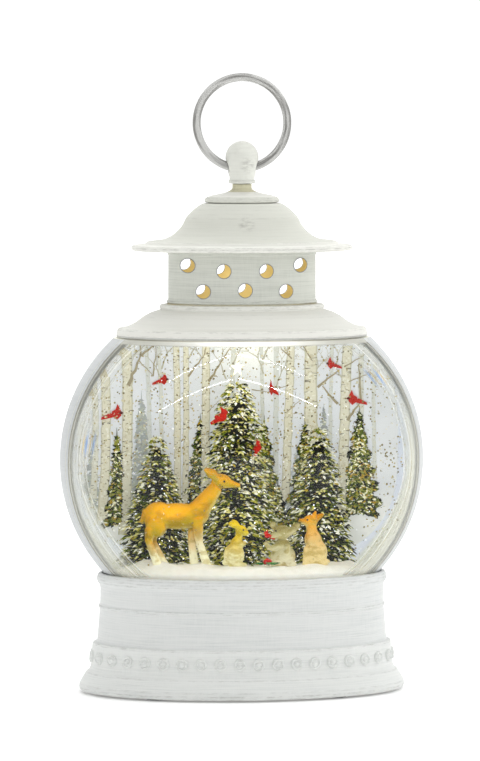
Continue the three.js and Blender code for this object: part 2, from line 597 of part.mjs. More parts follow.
/** Floor of the base: battery tray, two bracket posts, the switch window and the screw holes. */
function bottomPlate() {
  const { underside } = PLATE;
  const { halfLength, halfWidth, depth, ledge, wall } = BAY;
  const ceiling = PLATE_TOP + depth;
  const tray = centredBlock(halfLength + wall, halfWidth + wall, underside, ceiling + 1.5);
  const margin = ledge + wall;
  const seat = centredBlock(halfLength + margin, halfWidth + margin, underside, PLATE_TOP + 1);
  const cellRoom = centredBlock(halfLength, halfWidth, underside - 1, ceiling);
  const doorRoom = centredBlock(DOOR_X + GAP, DOOR_Y + 2 * GAP, underside - 1, DOOR_TOP + GAP);
  const pinReach = DOOR_X + DOOR.pinLength + GAP;
  const pinHole = rod('x', DOOR.pinRadius + GAP, -pinReach, pinReach, [HINGE_Y, HINGE_Z]);
  const [windowX, windowY] = [SWITCH.slotHalfWidth + 0.2, SWITCH.slotHalfLength + 0.2];
  const window = centredBlock(windowX, windowY, underside - 1, PLATE_TOP + 1).translate([SWITCH.x, 0, 0]);
  const posts = atEnds(BRACKET_POST.x, BRACKET_POST.radius, underside, BRACKET_POST.top);
  const pegs = atEnds(BRACKET_POST.x, BRACKET_POST.pegRadius, underside, BRACKET_POST.pegTop);
  const screwHoles = atPlateScrews(PLATE_SCREW.shankRadius + GAP, underside - 1, PLATE_TOP + 1);
  const headRooms = atPlateScrews(PLATE_SCREW.headRadius + GAP, underside - 1, underside + 1.6);
  const body = join(ovalDisc(76.2, underside, PLATE_TOP, WALL + GAP), tray, seat, ...posts, ...pegs);
  const screwRoom = join(...screwHoles, ...headRooms);
  return toGeometry(body.subtract(join(cellRoom, doorRoom, pinHole, window, screwRoom)));
}

/** Battery door about its own hinge line, with a rounded hinge edge, two pin stubs and a finger notch. */
function batteryDoor() {
  const half = DOOR.thickness / 2;
  const panel = block([-DOOR_X, -HINGE_Y - DOOR_Y, -half], [DOOR_X, 0, half]);
  const edge = rod('x', half, -DOOR_X, DOOR_X, [0, 0], 16);
  const pins = rod('x', DOOR.pinRadius, -DOOR_X - DOOR.pinLength, DOOR_X + DOOR.pinLength, [0, 0]);
  const notch = rod('x', 1.2, -7, 7, [-HINGE_Y - DOOR_Y + 3.4, -half]);
  return toGeometry(join(panel, edge, pins).subtract(notch));
}

/** AA cell along X with its button at +X. */
function batteryCell() {
  const { radius, length } = CELL;
  const [button, edge, shoulder] = [2.7, 0.6, length - 1];
  const body = [
    [radius - edge, 0], [radius, edge], [radius, shoulder - edge], [radius - edge, shoulder],
    [button, shoulder], [button, length],
  ];
  return turned(body, 12).translate(0, 0, -length / 2).rotateY(Math.PI / 2);
}

/** Sheet-metal contact strip at one end of the bay, with a sprung tongue for each cell. */
function contactStrip() {
  const { halfLength, halfHeight, thickness } = CONTACT;
  const strip = centredBlock(thickness / 2, halfLength, -halfHeight, halfHeight);
  const tongues = [-1, 0, 1].map((row) => {
    const tongue = new THREE.BoxGeometry(TONGUE.thickness, TONGUE.width, TONGUE.height).rotateY(TONGUE.tilt);
    return toSolid(tongue.translate(0.7, row * CELL.pitch, 0.6));
  });
  return toGeometry(join(strip, ...tongues));
}

/** Switch case with its slot underneath for the slider. */
function switchBody() {
  const bottom = PLATE_TOP + GAP;
  const slot = centredBlock(SWITCH.slotHalfWidth, SWITCH.slotHalfLength, bottom - 1, bottom + 2);
  const body = centredBlock(SWITCH.halfWidth, SWITCH.halfLength, bottom, bottom + SWITCH.height);
  return toGeometry(body.subtract(slot));
}

/** Slider button that reaches down through the window in the bottom plate. */
function switchSlider() {
  const { halfWidth, halfLength, tip, depth } = SLIDER;
  return toGeometry(centredBlock(halfWidth, halfLength, tip, PLATE_TOP + GAP + depth));
}

function controlBoard() {
  const board = centredBlock(8, 8.5, 0, BOARD_THICKNESS);
  const chip = block([-3, -6, BOARD_THICKNESS - 0.2], [3, 1, 3]);
  const capacitor = disc(2.5, BOARD_THICKNESS - 0.2, 8, [-4, 5], SMALL_SIDES);
  return toGeometry(join(board, chip, capacitor));
}

/** Oval lamp board around the magnet carrier. */
function lampBoard() {
  const { boardZ, boardHalfWidth } = LAMPS;
  const board = ovalDisc(boardHalfWidth, boardZ, boardZ + BOARD_THICKNESS);
  return toGeometry(board.subtract(disc(CARRIER.radius + 2, boardZ - 1, boardZ + BOARD_THICKNESS + 1)));
}

function lamp() {
  const [flange, dome] = [2.9, 2.5];
  return turned([[flange, 0], [flange, 0.9], [dome, 0.9], [dome, 2.6], [1.6, 4]], SMALL_SIDES);
}

function footPad() {
  return turned([[PAD.radius - 0.5, 0], [PAD.radius, 0.5], [PAD.radius, PLATE.underside - GAP]], 12);
}

function plateScrew() {
  const { headRadius, headHeight, shankRadius, length } = PLATE_SCREW;
  return screw(headRadius, 0, headHeight, shankRadius, length);
}

// ---------------------------------------------------------------- assembly

function piece(name, geometry, material, position = [0, 0, 0]) {
  const mesh = new THREE.Mesh(geometry, material);
  mesh.name = name;
  mesh.position.set(...position);
  return mesh;
}

function lanternTop() {
  const ringPivot = new THREE.Group();
  ringPivot.position.z = RING.boreHeight;
  ringPivot.add(piece('carry_ring', carryRing(), FINISH.ringPaint, [0, 0, RING.middle - RING.boreHeight]));
  return [
    ringPivot,
    piece('finial_knob', finialKnob(), FINISH.paint),
    piece('finial_screw', finialScrew(), FINISH.steel),
    piece('roof_cap', roofCap(), FINISH.paint),
    piece('roof', roof(), FINISH.paint),
    piece('vent_gallery', ventGallery(), FINISH.paint),
    piece('shoulder_skirt', shoulderSkirt(), FINISH.paint),
  ];
}

function winterScene() {
  const { front, thickness, middle } = BACKDROP;
  const scenePieces = [
    piece('scene_backdrop', sceneBackdrop(), FINISH.print, [0, front + thickness / 2, middle]),
    piece('tree_centre', spruce(16.5, 9, 81, 6), FINISH.spruce, [-2, 7.5, FEET_Z]),
    piece('tree_left', spruce(15, 8, 57, 5), FINISH.spruce, [-37, 9, FEET_Z]),
    piece('tree_right', spruce(13, 8, 60.5, 5), FINISH.spruce, [33.5, 9, FEET_Z]),
    piece('tree_star', treeStar(), FINISH.star, [-2, 7.5, 148]),
    piece('deer', deer(), FINISH.fawn, [-30.5, -12, FEET_Z]),
    piece('rabbit', rabbit(), FINISH.straw, [-3.4, -15, FEET_Z]),
    piece('raccoon', raccoon(), FINISH.greyFur, [18, -12, FEET_Z]),
    piece('fox', fox(), FINISH.foxFur, [30.5, -13, FEET_Z]),
    piece('cardinal_left_perch', cardinal(), FINISH.red, [-9.2, 1.8, 126]),
    piece('cardinal_right_perch', cardinal(), FINISH.red, [7, 0.4, 112]),
    piece('cardinal_on_paw', cardinal(0.6), FINISH.red, [9, -15, 75.5]),
    piece('holly_sprig', hollySprig(), FINISH.holly, [8.5, -20.5, FEET_Z]),
  ];
  return [
    ...scenePieces,
    piece('snow_ground', snowGround(), FINISH.snow),
    piece('water_fill', waterFill(scenePieces), FINISH.water),
  ];
}

function globe() {
  return [
    piece('globe_front', globeHalf(-1), FINISH.clear),
    piece('globe_back', globeHalf(1), FINISH.paint),
    piece('globe_plug', globePlug(), FINISH.clear),
    piece('plug_gasket', plugGasket(), FINISH.rubber),
    piece('globe_screw_left', globeScrew(), FINISH.steel, [-GLOBE_SCREW.x, 0, 0]),
    piece('globe_screw_right', globeScrew(), FINISH.steel, [GLOBE_SCREW.x, 0, 0]),
  ];
}

function stirringDrive() {
  const { inner, outer, thickness } = DRIVE_MAGNET;
  const driveMagnetZ = CARRIER.bottom + CARRIER.thickness + GAP;
  const impellerMagnetZ = PLUG.bottom + PLUG.floor + GAP;
  return [
    piece('impeller', impeller(), FINISH.whitePlastic),
    piece('impeller_magnet', ringMagnet(1.5, outer, impellerMagnetZ, 2.2), FINISH.magnet),
    piece('impeller_pin', impellerPin(), FINISH.steel),
    piece('motor', motor(), FINISH.steel),
    piece('motor_shaft', motorShaft(), FINISH.steel),
    piece('magnet_carrier', magnetCarrier(), FINISH.blackPlastic),
    piece('drive_magnet', ringMagnet(inner, outer, driveMagnetZ, thickness), FINISH.magnet),
    piece('motor_bracket', motorBracket(), FINISH.whitePlastic),
  ];
}

function base() {
  const cellZ = DOOR_TOP + GAP + 0.5 + CELL.radius;
  const cells = [-1, 0, 1].map((row, i) => {
    const cell = piece(`battery_cell_${i + 1}`, batteryCell(), FINISH.cell, [0, row * CELL.pitch, cellZ]);
    if (row === 0) cell.rotation.z = Math.PI;
    return cell;
  });
  const strips = [['left', -1], ['right', 1]].map(([side, sign]) => {
    const at = [sign * (BAY.halfLength - 0.7), 0, cellZ];
    const strip = piece(`contact_strip_${side}`, contactStrip(), FINISH.steel, at);
    if (sign > 0) strip.rotation.z = Math.PI;
    return strip;
  });
  const pads = atCorners((sx, sy) => [sx * PAD.x, sy * PAD.y, 0]);
  const screws = atCorners((sx, sy) => [sx * PLATE_SCREW.x, sy * PLATE_SCREW.y, PLATE.underside + 0.2]);
  const lampZ = LAMPS.boardZ + BOARD_THICKNESS + GAP;
  return [
    piece('base_shell', baseShell(), FINISH.paint),
    piece('bottom_plate', bottomPlate(), FINISH.whitePlastic),
    piece('battery_door', batteryDoor(), FINISH.whitePlastic, [0, HINGE_Y, HINGE_Z]),
    ...cells,
    ...strips,
    piece('switch_body', switchBody(), FINISH.blackPlastic, [SWITCH.x, 0, 0]),
    piece('switch_slider', switchSlider(), FINISH.blackPlastic, [SWITCH.x, 0, 0]),
    piece('control_board', controlBoard(), FINISH.board, [-56, 0, PLATE_TOP + GAP]),
    piece('lamp_board', lampBoard(), FINISH.board),
    piece('lamp_left', lamp(), FINISH.lamp, [-LAMPS.x, 0, lampZ]),
    piece('lamp_right', lamp(), FINISH.lamp, [LAMPS.x, 0, lampZ]),
    ...pads.map((at, i) => piece(`foot_pad_${i + 1}`, footPad(), FINISH.rubber, at)),
    ...screws.map((at, i) => piece(`plate_screw_${i + 1}`, plateScrew(), FINISH.steel, at)),
  ];
}

const snowGlobe = new THREE.Group();
snowGlobe.add(...lanternTop(), ...globe(), ...winterScene(), ...stirringDrive(), ...base());

export default snowGlobe;
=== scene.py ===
"""Looks of the snow-globe lantern. Lengths are written in millimetres and turned into metres by MM.

+Z is up, the front faces -Y, and the origin is on the table under the base, as in the CAD frame.
Casing sections are ovals, DEPTH_RATIO as deep as they are wide: an outline gives half-widths against height.
"""

import json
import math
import random

import bmesh
import bpy
from mathutils import Matrix, Vector, noise


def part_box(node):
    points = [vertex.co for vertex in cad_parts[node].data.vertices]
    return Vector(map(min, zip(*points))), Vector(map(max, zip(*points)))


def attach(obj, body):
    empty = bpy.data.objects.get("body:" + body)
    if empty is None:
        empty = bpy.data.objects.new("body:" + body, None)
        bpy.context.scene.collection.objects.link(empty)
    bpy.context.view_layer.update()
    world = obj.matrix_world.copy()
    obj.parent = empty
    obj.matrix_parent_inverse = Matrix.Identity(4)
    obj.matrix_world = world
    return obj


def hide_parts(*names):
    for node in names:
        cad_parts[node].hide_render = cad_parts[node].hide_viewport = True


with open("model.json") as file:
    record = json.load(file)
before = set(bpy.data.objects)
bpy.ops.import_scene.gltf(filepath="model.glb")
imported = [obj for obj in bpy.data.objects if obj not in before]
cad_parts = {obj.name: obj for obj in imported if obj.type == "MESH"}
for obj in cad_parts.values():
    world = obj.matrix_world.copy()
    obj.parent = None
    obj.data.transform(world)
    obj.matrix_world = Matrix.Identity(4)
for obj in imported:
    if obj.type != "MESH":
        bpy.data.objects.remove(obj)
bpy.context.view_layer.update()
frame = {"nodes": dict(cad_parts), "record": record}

MM = 0.001
DEPTH_RATIO = 0.52
WALL = 2.5
FAR = 99  # past the globe on every side
HOME = "lantern"  # the body that everything fixed rides on

GLOBE_HALF = Vector((85.5, 44.5, 81.3))
GLOBE_MIDDLE = Vector((0, 0, 109))
GLOBE_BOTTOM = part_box("globe_front")[0].z / MM
GLOBE_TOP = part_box("globe_front")[1].z / MM
SEAM_GAP = 0.15
SEAM_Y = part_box("globe_front")[1].y / MM + SEAM_GAP
SNOW_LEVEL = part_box("snow_ground")[1].z / MM
PANEL_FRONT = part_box("scene_backdrop")[0].y / MM
PANEL_HALF = (66, 50)
PANEL_SQUARENESS = 2.8  # 2 would be an ellipse
PANEL_MIDDLE_Z = 113


# ---------------------------------------------------------------- node helpers


def node(tree, kind, settings=None, **inputs):
    """A shader node. Inputs are named with _ for a space, and take a value or another node's output."""
    made = tree.nodes.new(kind)
    for key, value in (settings or {}).items():
        setattr(made, key, value)
    for key, value in inputs.items():
        plug(tree, made.inputs[key.replace("_", " ")], value)
    return made


def plug(tree, socket, value):
    if isinstance(value, bpy.types.NodeSocket):
        tree.links.new(value, socket)
    else:
        socket.default_value = value


def blend_colour(tree, factor, first, second, how="MIX"):
    made = tree.nodes.new("ShaderNodeMix")
    made.data_type = "RGBA"
    made.blend_type = how
    plug(tree, made.inputs[0], factor)
    plug(tree, made.inputs[6], first)
    plug(tree, made.inputs[7], second)
    return made.outputs[2]


def sums(tree, operation, *values):
    made = tree.nodes.new("ShaderNodeMath")
    made.operation = operation
    for socket, value in zip(made.inputs, values):
        plug(tree, socket, value)
    return made.outputs[0]


def times(tree, first, second):
    return sums(tree, "MULTIPLY", first, second)


def scaled(tree, value, factor, shift):
    """value times factor, plus shift."""
    return sums(tree, "MULTIPLY_ADD", value, factor, shift)


def ramp(tree, factor, low, high):
    """0 below low, 1 above high, smooth between."""
    made = node(tree, "ShaderNodeMapRange", {"interpolation_type": "SMOOTHSTEP"})
    plug(tree, made.inputs["Value"], factor)
    made.inputs["From Min"].default_value = low
    made.inputs["From Max"].default_value = high
    return made.outputs["Result"]


def object_place(tree):
    """A point's place in the object's own space, in metres."""
    return node(tree, "ShaderNodeTexCoord").outputs["Object"]


def axes(tree):
    """X, Y and Z of object_place."""
    return node(tree, "ShaderNodeSeparateXYZ", Vector=object_place(tree)).outputs


def distance_from(tree, spot):
    """The distance in metres from a spot given in millimetres."""
    away = node(tree, "ShaderNodeVectorMath", {"operation": "DISTANCE"})
    plug(tree, away.inputs[0], object_place(tree))
    away.inputs[1].default_value = Vector(spot) * MM
    return away.outputs["Value"]


def grain(tree, per_metre, detail=4.0, roughness=0.6):
    """Noise in the object's own space. per_metre is how many blotches a metre holds along X, Y and Z."""
    stretched = node(tree, "ShaderNodeMapping", Vector=object_place(tree), Scale=per_metre).outputs["Vector"]
    return node(
        tree, "ShaderNodeTexNoise", Vector=stretched, Scale=1.0, Detail=detail, Roughness=roughness
    ).outputs["Fac"]


def bump(tree, height, strength, distance_mm):
    return node(
        tree, "ShaderNodeBump", Height=height, Strength=strength, Distance=distance_mm * MM
    ).outputs["Normal"]


def height_mm(tree):
    return times(tree, axes(tree)["Z"], 1 / MM)


def rgb(red, green, blue):
    """Linear colour from sRGB values of 0 to 255."""

    def linear(value):
        value /= 255
        return value / 12.92 if value <= 0.04045 else ((value + 0.055) / 1.055) ** 2.4

    return (linear(red), linear(green), linear(blue), 1.0)


def blank(name, **values):
    """A material and its tree and surface shader, with values set on the shader."""
    material = bpy.data.materials.new(name)
    material.use_nodes = True
    surface = material.node_tree.nodes["Principled BSDF"]
    for key, value in values.items():
        plug(material.node_tree, surface.inputs[key.replace("_", " ")], value)
    return material, material.node_tree, surface


def coloured(tree, surface, colour, glow=None):
    """Gives the shader its colour, which also shines when glow is given."""
    plug(tree, surface.inputs["Base Color"], colour)
    if glow is not None:
        plug(tree, surface.inputs["Emission Color"], colour)
        plug(tree, surface.inputs["Emission Strength"], glow)


def mix_shaders(tree, factor, first, second):
    mixed = node(tree, "ShaderNodeMixShader", Fac=factor)
    tree.links.new(first.outputs[0], mixed.inputs[1])
    tree.links.new(second.outputs[0], mixed.inputs[2])
    return mixed


def show(tree, shader):
    tree.links.new(shader.outputs[0], tree.nodes["Material Output"].inputs["Surface"])


# ---------------------------------------------------------------- finishes


def whitewash(name, light, shade, brushing=1.0, wear_strength=0.6, rubbed_spot=None):
    """Brushed whitewash: fine level strokes crossed by faint upright ones, rubbed grey on the worn edges.

    rubbed_spot is the middle, in millimetres, of one more worn place."""
    material, tree, surface = blank(name, Roughness=0.5)
    strokes = grain(tree, (45, 45, 2600), detail=5, roughness=0.65)
    uprights = grain(tree, (1500, 1500, 120), detail=3)
    broad = grain(tree, (25, 25, 90), detail=4)
    level = scaled(tree, uprights, 0.2, times(tree, strokes, 0.8))
    colour = blend_colour(tree, ramp(tree, level, 0.5 - 0.3 / brushing, 0.62), shade, light)
    colour = blend_colour(tree, times(tree, ramp(tree, broad, 0.35, 0.7), 0.5), colour, light)
    scratches = grain(tree, (70, 70, 3600), detail=2, roughness=0.8)
    thin = times(tree, ramp(tree, scratches, 0.66, 0.78), ramp(tree, broad, 0.6, 0.4))
    colour = blend_colour(tree, times(tree, thin, 0.35 * brushing), colour, rgb(150, 150, 145))
    worn = node(tree, "ShaderNodeAttribute", {"attribute_name": "wear"}).outputs["Fac"]
    patches = grain(tree, (220, 220, 900), detail=5, roughness=0.7)
    if rubbed_spot:
        worn = sums(tree, "MAXIMUM", worn, ramp(tree, distance_from(tree, rubbed_spot), 5 * MM, 2 * MM))
    rubbed = times(tree, worn, ramp(tree, patches, 0.4, 0.7))
    colour = blend_colour(tree, times(tree, rubbed, wear_strength), colour, rgb(140, 139, 132))
    coloured(tree, surface, colour)
    plug(tree, surface.inputs["Normal"], bump(tree, level, 0.2, 0.1))
    return material


def lit_finish(name, first, second, glow):
    """A pale inside wall whose gold colour and glow are painted lamp light."""
    material, tree, surface = blank(name, Roughness=0.6)
    cloud = grain(tree, (60, 60, 60), detail=4)
    colour = blend_colour(tree, cloud, first, second)
    coloured(tree, surface, colour, glow)
    return material


def bright_wall():
    """Inside of the globe's back: misty white with a painted glow of lamp light, and a cream band along the
    seam.

    The band stands for the wall where it is seen edge-on."""
    material, tree, surface = blank("bright_wall", Roughness=0.5)
    split = axes(tree)
    cloud = grain(tree, (70, 70, 70), detail=5)
    sky = blend_colour(tree, cloud, rgb(210, 214, 222), rgb(231, 233, 237))
    cream = blend_colour(tree, grain(tree, (60, 300, 60), detail=4), rgb(200, 200, 184), rgb(230, 230, 220))
    depth = times(tree, split["Y"], 1 / MM)
    drop = ramp(tree, split["Z"], 0.115, 0.065)
    near = ramp(tree, scaled(tree, drop, -3.0, depth), 23.5, 22.0)
    colour = blend_colour(tree, near, sky, cream)
    # The glow is painted lamp light.
    coloured(tree, surface, colour, 0.28)
    return material


def ring_finish():
    """Whitewashed wire with silver-grey brushed through along its length."""
    material, tree, surface = blank("ring_finish", Roughness=0.45)
    along = node(tree, "ShaderNodeAttribute", {"attribute_name": "run"}).outputs["Vector"]
    stretched = node(tree, "ShaderNodeMapping", Vector=along, Scale=(45, 520, 1)).outputs["Vector"]
    streaks = node(tree, "ShaderNodeTexNoise", Vector=stretched, Scale=1.0, Detail=5.0).outputs["Fac"]
    colour = blend_colour(tree, ramp(tree, streaks, 0.36, 0.6), rgb(122, 121, 118), rgb(186, 186, 183))
    coloured(tree, surface, colour)
    plug(tree, surface.inputs["Metallic"], times(tree, ramp(tree, streaks, 0.6, 0.4), 0.35))
    plug(tree, surface.inputs["Normal"], bump(tree, streaks, 0.25, 0.12))
    return material


def clear_shell_finish():
    """Clear plastic with a sheen. Along the seam it has paint, fine lines and a clouded band."""
    material, tree, surface = blank("clear_shell_finish", Roughness=0.3)
    split = axes(tree)
    rise = times(tree, split["Z"], 1 / MM)
    wobble = grain(tree, (18, 0, 18), detail=2)
    depth = scaled(tree, split["Y"], -1 / MM, wobble)
    inward = scaled(tree, ramp(tree, rise, 68, 105), 2.7, depth)  # the band is narrower higher up
    gloss = node(tree, "ShaderNodeBsdfGlossy", Color=(1, 1, 1, 1), Roughness=0.03)
    through = node(tree, "ShaderNodeBsdfTransparent", Color=(0.985, 0.99, 0.985, 1))
    edge = node(tree, "ShaderNodeFresnel", IOR=1.38)
    sheen = scaled(tree, ramp(tree, rise, 95, 150), 0.6, 0.08)
    clear = mix_shaders(tree, times(tree, edge.outputs["Fac"], sheen), through, gloss)

    def stripe(middle, half, value=depth):
        rising = ramp(tree, value, middle - half, middle)
        return times(tree, rising, ramp(tree, value, middle + half, middle))

    streaks = grain(tree, (30, 900, 30), detail=4)
    colour = blend_colour(tree, streaks, rgb(206, 207, 192), rgb(236, 237, 229))
    left = ramp(tree, split["X"], 0.001, -0.001)
    right = ramp(tree, split["X"], -0.001, 0.001)
    glint = scaled(tree, stripe(119, 11, rise), left, times(tree, stripe(149, 8, rise), right))
    # The near-white lines are painted highlights, and the last two are painted blue and gold glints.
    layers = [  # strength, how far it shows where the shell is clear, and colour
        (stripe(13.0, 0.4), 0.6, rgb(172, 164, 130)),
        (stripe(13.8, 0.4), 0.6, rgb(248, 246, 232)),
        (stripe(14.8, 0.3), 0.35, rgb(196, 184, 138)),
        (stripe(21.7, 0.45, inward), 0.35, rgb(196, 188, 150)),
        (stripe(22.4, 0.4, inward), 0.45, rgb(252, 252, 246)),
        (times(tree, stripe(23.3, 0.8, inward), glint), 0.6, rgb(220, 186, 108)),
        (times(tree, stripe(24.6, 1.1, inward), glint), 0.7, rgb(96, 146, 214)),
    ]
    low = ramp(tree, rise, 146, 124)  # the band fades out towards the top
    cloud = times(tree, scaled(tree, streaks, 0.6, 0.05), scaled(tree, low, 0.85, 0.15))
    shown = times(tree, ramp(tree, inward, 23.2, 22.2), cloud)
    step = ramp(tree, rise, GLOBE_TOP - 2.6, GLOBE_TOP - 1.4)  # pale band under the skirt, with a faint painted glow
    sideways = sums(tree, "ABSOLUTE", split["X"])
    lamplit = times(tree, step, ramp(tree, sideways, 0.048, 0.012))
    layers += [(step, 0.6, rgb(204, 204, 192)), (lamplit, 0.85, rgb(250, 250, 244))]
    # Painted glow: faint on the band, brightest in the middle as if lit by the lamps.
    plug(tree, surface.inputs["Emission Color"], rgb(255, 253, 244))
    plug(tree, surface.inputs["Emission Strength"], scaled(tree, lamplit, 0.24, times(tree, step, 0.1)))
    for strength, cover, tint in layers:
        colour = blend_colour(tree, strength, colour, tint)
        shown = sums(tree, "MAXIMUM", shown, times(tree, strength, cover))
    # The paint along the seam takes the globe's grey rim colour: painted shade on white paint.
    strokes = grain(tree, (45, 45, 1600), detail=4)
    paint = ramp(tree, depth, 12.7, 12.3)
    brushed = blend_colour(tree, strokes, rgb(172, 176, 177), rgb(196, 199, 199))
    colour = blend_colour(tree, paint, colour, brushed)
    coloured(tree, surface, colour)
    show(tree, mix_shaders(tree, sums(tree, "MAXIMUM", shown, paint), clear, surface))
    return material


def water_finish():
    """Clear water that bends light, and lets lamp light and soft light pass straight in."""
    material, tree, surface = blank(
        "water_finish",
        Base_Color=(0.99, 1, 1, 1),
        Roughness=0.0,
        IOR=1.333,
        Specular_IOR_Level=0.05,
        Transmission_Weight=1.0,
    )
    path = node(tree, "ShaderNodeLightPath")
    direct = sums(tree, "MAXIMUM", path.outputs["Is Shadow Ray"], path.outputs["Is Diffuse Ray"])
    show(tree, mix_shaders(tree, direct, surface, node(tree, "ShaderNodeBsdfTransparent")))
    return material


def tinted(name, roughness, speck, emission=0.0, **values):
    """A finish that takes its colour from the mesh's own tint, broken up by fine specks."""
    material, tree, surface = blank(name, Roughness=roughness, **values)
    tint = node(tree, "ShaderNodeAttribute", {"attribute_name": "tint"}).outputs["Color"]
    specks = ramp(tree, grain(tree, (speck, speck, speck), detail=3), 0.3, 0.7)
    colour = blend_colour(tree, times(tree, specks, 0.12), tint, (0.9, 0.9, 0.8, 1), "SOFT_LIGHT")
    coloured(tree, surface, colour)
    # The glow is painted light in the tint's own colour; these pieces hold no lamp.
    if emission:
        plug(tree, surface.inputs["Emission Color"], tint)
        surface.inputs["Emission Strength"].default_value = emission
    return material


def snow_finish():
    material, tree, surface = blank("snow_finish", Roughness=0.6, Subsurface_Weight=0.3)
    surface.inputs["Subsurface Radius"].default_value = (0.004, 0.003, 0.002)
    lumps = grain(tree, (260, 260, 260), detail=5)
    colour = blend_colour(tree, lumps, rgb(222, 219, 206), rgb(246, 245, 240))
    coloured(tree, surface, colour)
    # Painted glow: the snow as if lit from below by the lamps.
    surface.inputs["Emission Color"].default_value = rgb(255, 250, 240)
    surface.inputs["Emission Strength"].default_value = 0.12
    plug(tree, surface.inputs["Normal"], bump(tree, lumps, 0.5, 0.6))
    return material


def resin(name, back, flank, foot, foot_top, fade_height=14, facing_way=1, lean=0.0):
    """Glazed resin figure: one colour on the back, partly painted top light, another on the flank, and pale
    snow-dusted lower down.
    """
    material, tree, surface = blank(name, Roughness=0.35, Specular_IOR_Level=0.09)
    facing = node(tree, "ShaderNodeSeparateXYZ", Vector=node(tree, "ShaderNodeNewGeometry").outputs["Normal"])
    blotch = grain(tree, (160, 160, 160), detail=4)
    # Faces turned up take the back colour: partly the glaze's own two tones, partly painted top light.
    upward = sums(tree, "ADD", facing.outputs["Z"], scaled(tree, blotch, 1.4, -0.7))
    colour = blend_colour(tree, ramp(tree, upward, -0.5, 0.55), flank, back)
    under = scaled(tree, facing.outputs["X"], facing_way, times(tree, facing.outputs["Z"], -1.0))
    throat = times(tree, ramp(tree, under, 0.55, 1.3), 0.65)
    colour = blend_colour(tree, throat, colour, rgb(212, 196, 128))
    tilted_rise = scaled(tree, axes(tree)["X"], -lean / MM, height_mm(tree))
    rise = sums(tree, "ADD", tilted_rise, scaled(tree, blotch, 9.0, -4.5))
    colour = blend_colour(tree, ramp(tree, rise, foot_top - fade_height, foot_top), foot, colour)
    brushed = times(tree, ramp(tree, grain(tree, (110, 300, 240), detail=4), 0.46, 0.6), 0.75)
    colour = blend_colour(tree, brushed, colour, (0.66, 0.58, 0.3, 1), "MULTIPLY")
    fleck = ramp(tree, grain(tree, (800, 800, 800), detail=1), 0.77, 0.8)
    colour = blend_colour(tree, times(tree, fleck, 0.75), colour, rgb(250, 246, 226))
    # Painted glow: faint all over, stronger near the snow as if lit by it.
    snowlight = ramp(tree, height_mm(tree), 80, 62)
    coloured(tree, surface, colour, scaled(tree, snowlight, 0.3, 0.05))
    plug(tree, surface.inputs["Normal"], bump(tree, grain(tree, (420, 420, 420)), 0.35, 0.35))
    return material


def moulded(name, colour, roughness=0.5, metallic=0.0):
    """Plain moulded or plated finish with faint mottling, for the pieces under and inside the casing."""
    material, tree, surface = blank(name, Metallic=metallic)
    mottle = grain(tree, (180, 180, 180), detail=5)
    darker = tuple(0.8 * channel for channel in colour[:3]) + (1.0,)
    plug(tree, surface.inputs["Base Color"], blend_colour(tree, mottle, darker, colour))
    plug(tree, surface.inputs["Roughness"], scaled(tree, mottle, 0.3, roughness - 0.15))
    plug(tree, surface.inputs["Normal"], bump(tree, grain(tree, (1500, 1500, 1500)), 0.1, 0.05))
    return material


def glow_finish(name, colour, strength):
    material, tree, surface = blank(name, Roughness=0.4, Base_Color=colour, Emission_Color=colour)
    flicker = grain(tree, (500, 500, 500), detail=2)
    plug(tree, surface.inputs["Emission Strength"], scaled(tree, flicker, strength * 0.4, strength * 0.8))
    return material


# ---------------------------------------------------------------- mesh helpers


class Batch:
    """Collects many small closed solids, each with its own tint, into one mesh."""

    def __init__(self):
        self.verts, self.faces, self.tints = [], [], []

    def add(self, verts, faces, tint):
        start = len(self.verts)
        self.verts += verts
        self.faces += [[start + i for i in face] for face in faces]
        self.tints += [tint] * len(faces)

    def build(self, name, material):
        made = solid(name, self.verts, self.faces, material, smooth=None)
        layer = made.data.color_attributes.new("tint", "FLOAT_COLOR", "CORNER")
        colours = []
        for polygon, tint in zip(made.data.polygons, self.tints):
            colours += tint * len(polygon.vertices)
        layer.data.foreach_set("color", colours)
        return made


def solid(name, verts, faces, material, smooth=40):
    """A mesh object from points in millimetres. smooth is the sharpest angle that is still shaded round."""
    mesh = bpy.data.meshes.new(name)
    mesh.from_pydata([Vector(v) * MM for v in verts], [], faces)
    mesh.update()
    made = bpy.data.objects.new(name, mesh)
    bpy.context.scene.collection.objects.link(made)
    mesh.materials.append(material)
    if smooth is not None:
        shade(made, smooth)
    return made


def point_values(made, name, kind, values):
    """Gives each point of the mesh its own number or vector, for the finish to read."""
    layer = made.data.attributes.new(name, kind, "POINT")
    layer.data.foreach_set("vector" if kind == "FLOAT_VECTOR" else "value", values)


def shade(made, angle):
    """Turns the faces outwards and shades them round up to an angle in degrees."""
    work = bmesh.new()
    work.from_mesh(made.data)
    bmesh.ops.recalc_face_normals(work, faces=work.faces)
    work.to_mesh(made.data)
    work.free()
    made.data.polygons.foreach_set("use_smooth", [True] * len(made.data.polygons))
    made.data.set_sharp_from_angle(angle=math.radians(angle))


def place(made, slot, *nodes, body=HOME):
    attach(made, body)
    if nodes:
        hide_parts(*nodes)


def applied(made):
    """Turns the object's modifiers into its mesh."""
    graph = bpy.context.evaluated_depsgraph_get()
    mesh = bpy.data.meshes.new_from_object(made.evaluated_get(graph), depsgraph=graph)
    made.modifiers.clear()
    made.data = mesh


def cut(made, cutter, operation="DIFFERENCE"):
    step = made.modifiers.new("cut", "BOOLEAN")
    step.operation = operation
    step.solver = "EXACT"
    step.object = cutter
    applied(made)
    bpy.data.objects.remove(cutter)


def line(made, material, inside):
    """Gives a second material to the faces whose middle, in millimetres, passes the inside test."""
    made.data.materials.append(material)
    for polygon in made.data.polygons:
        if inside(polygon.center / MM):
            polygon.material_index = len(made.data.materials) - 1


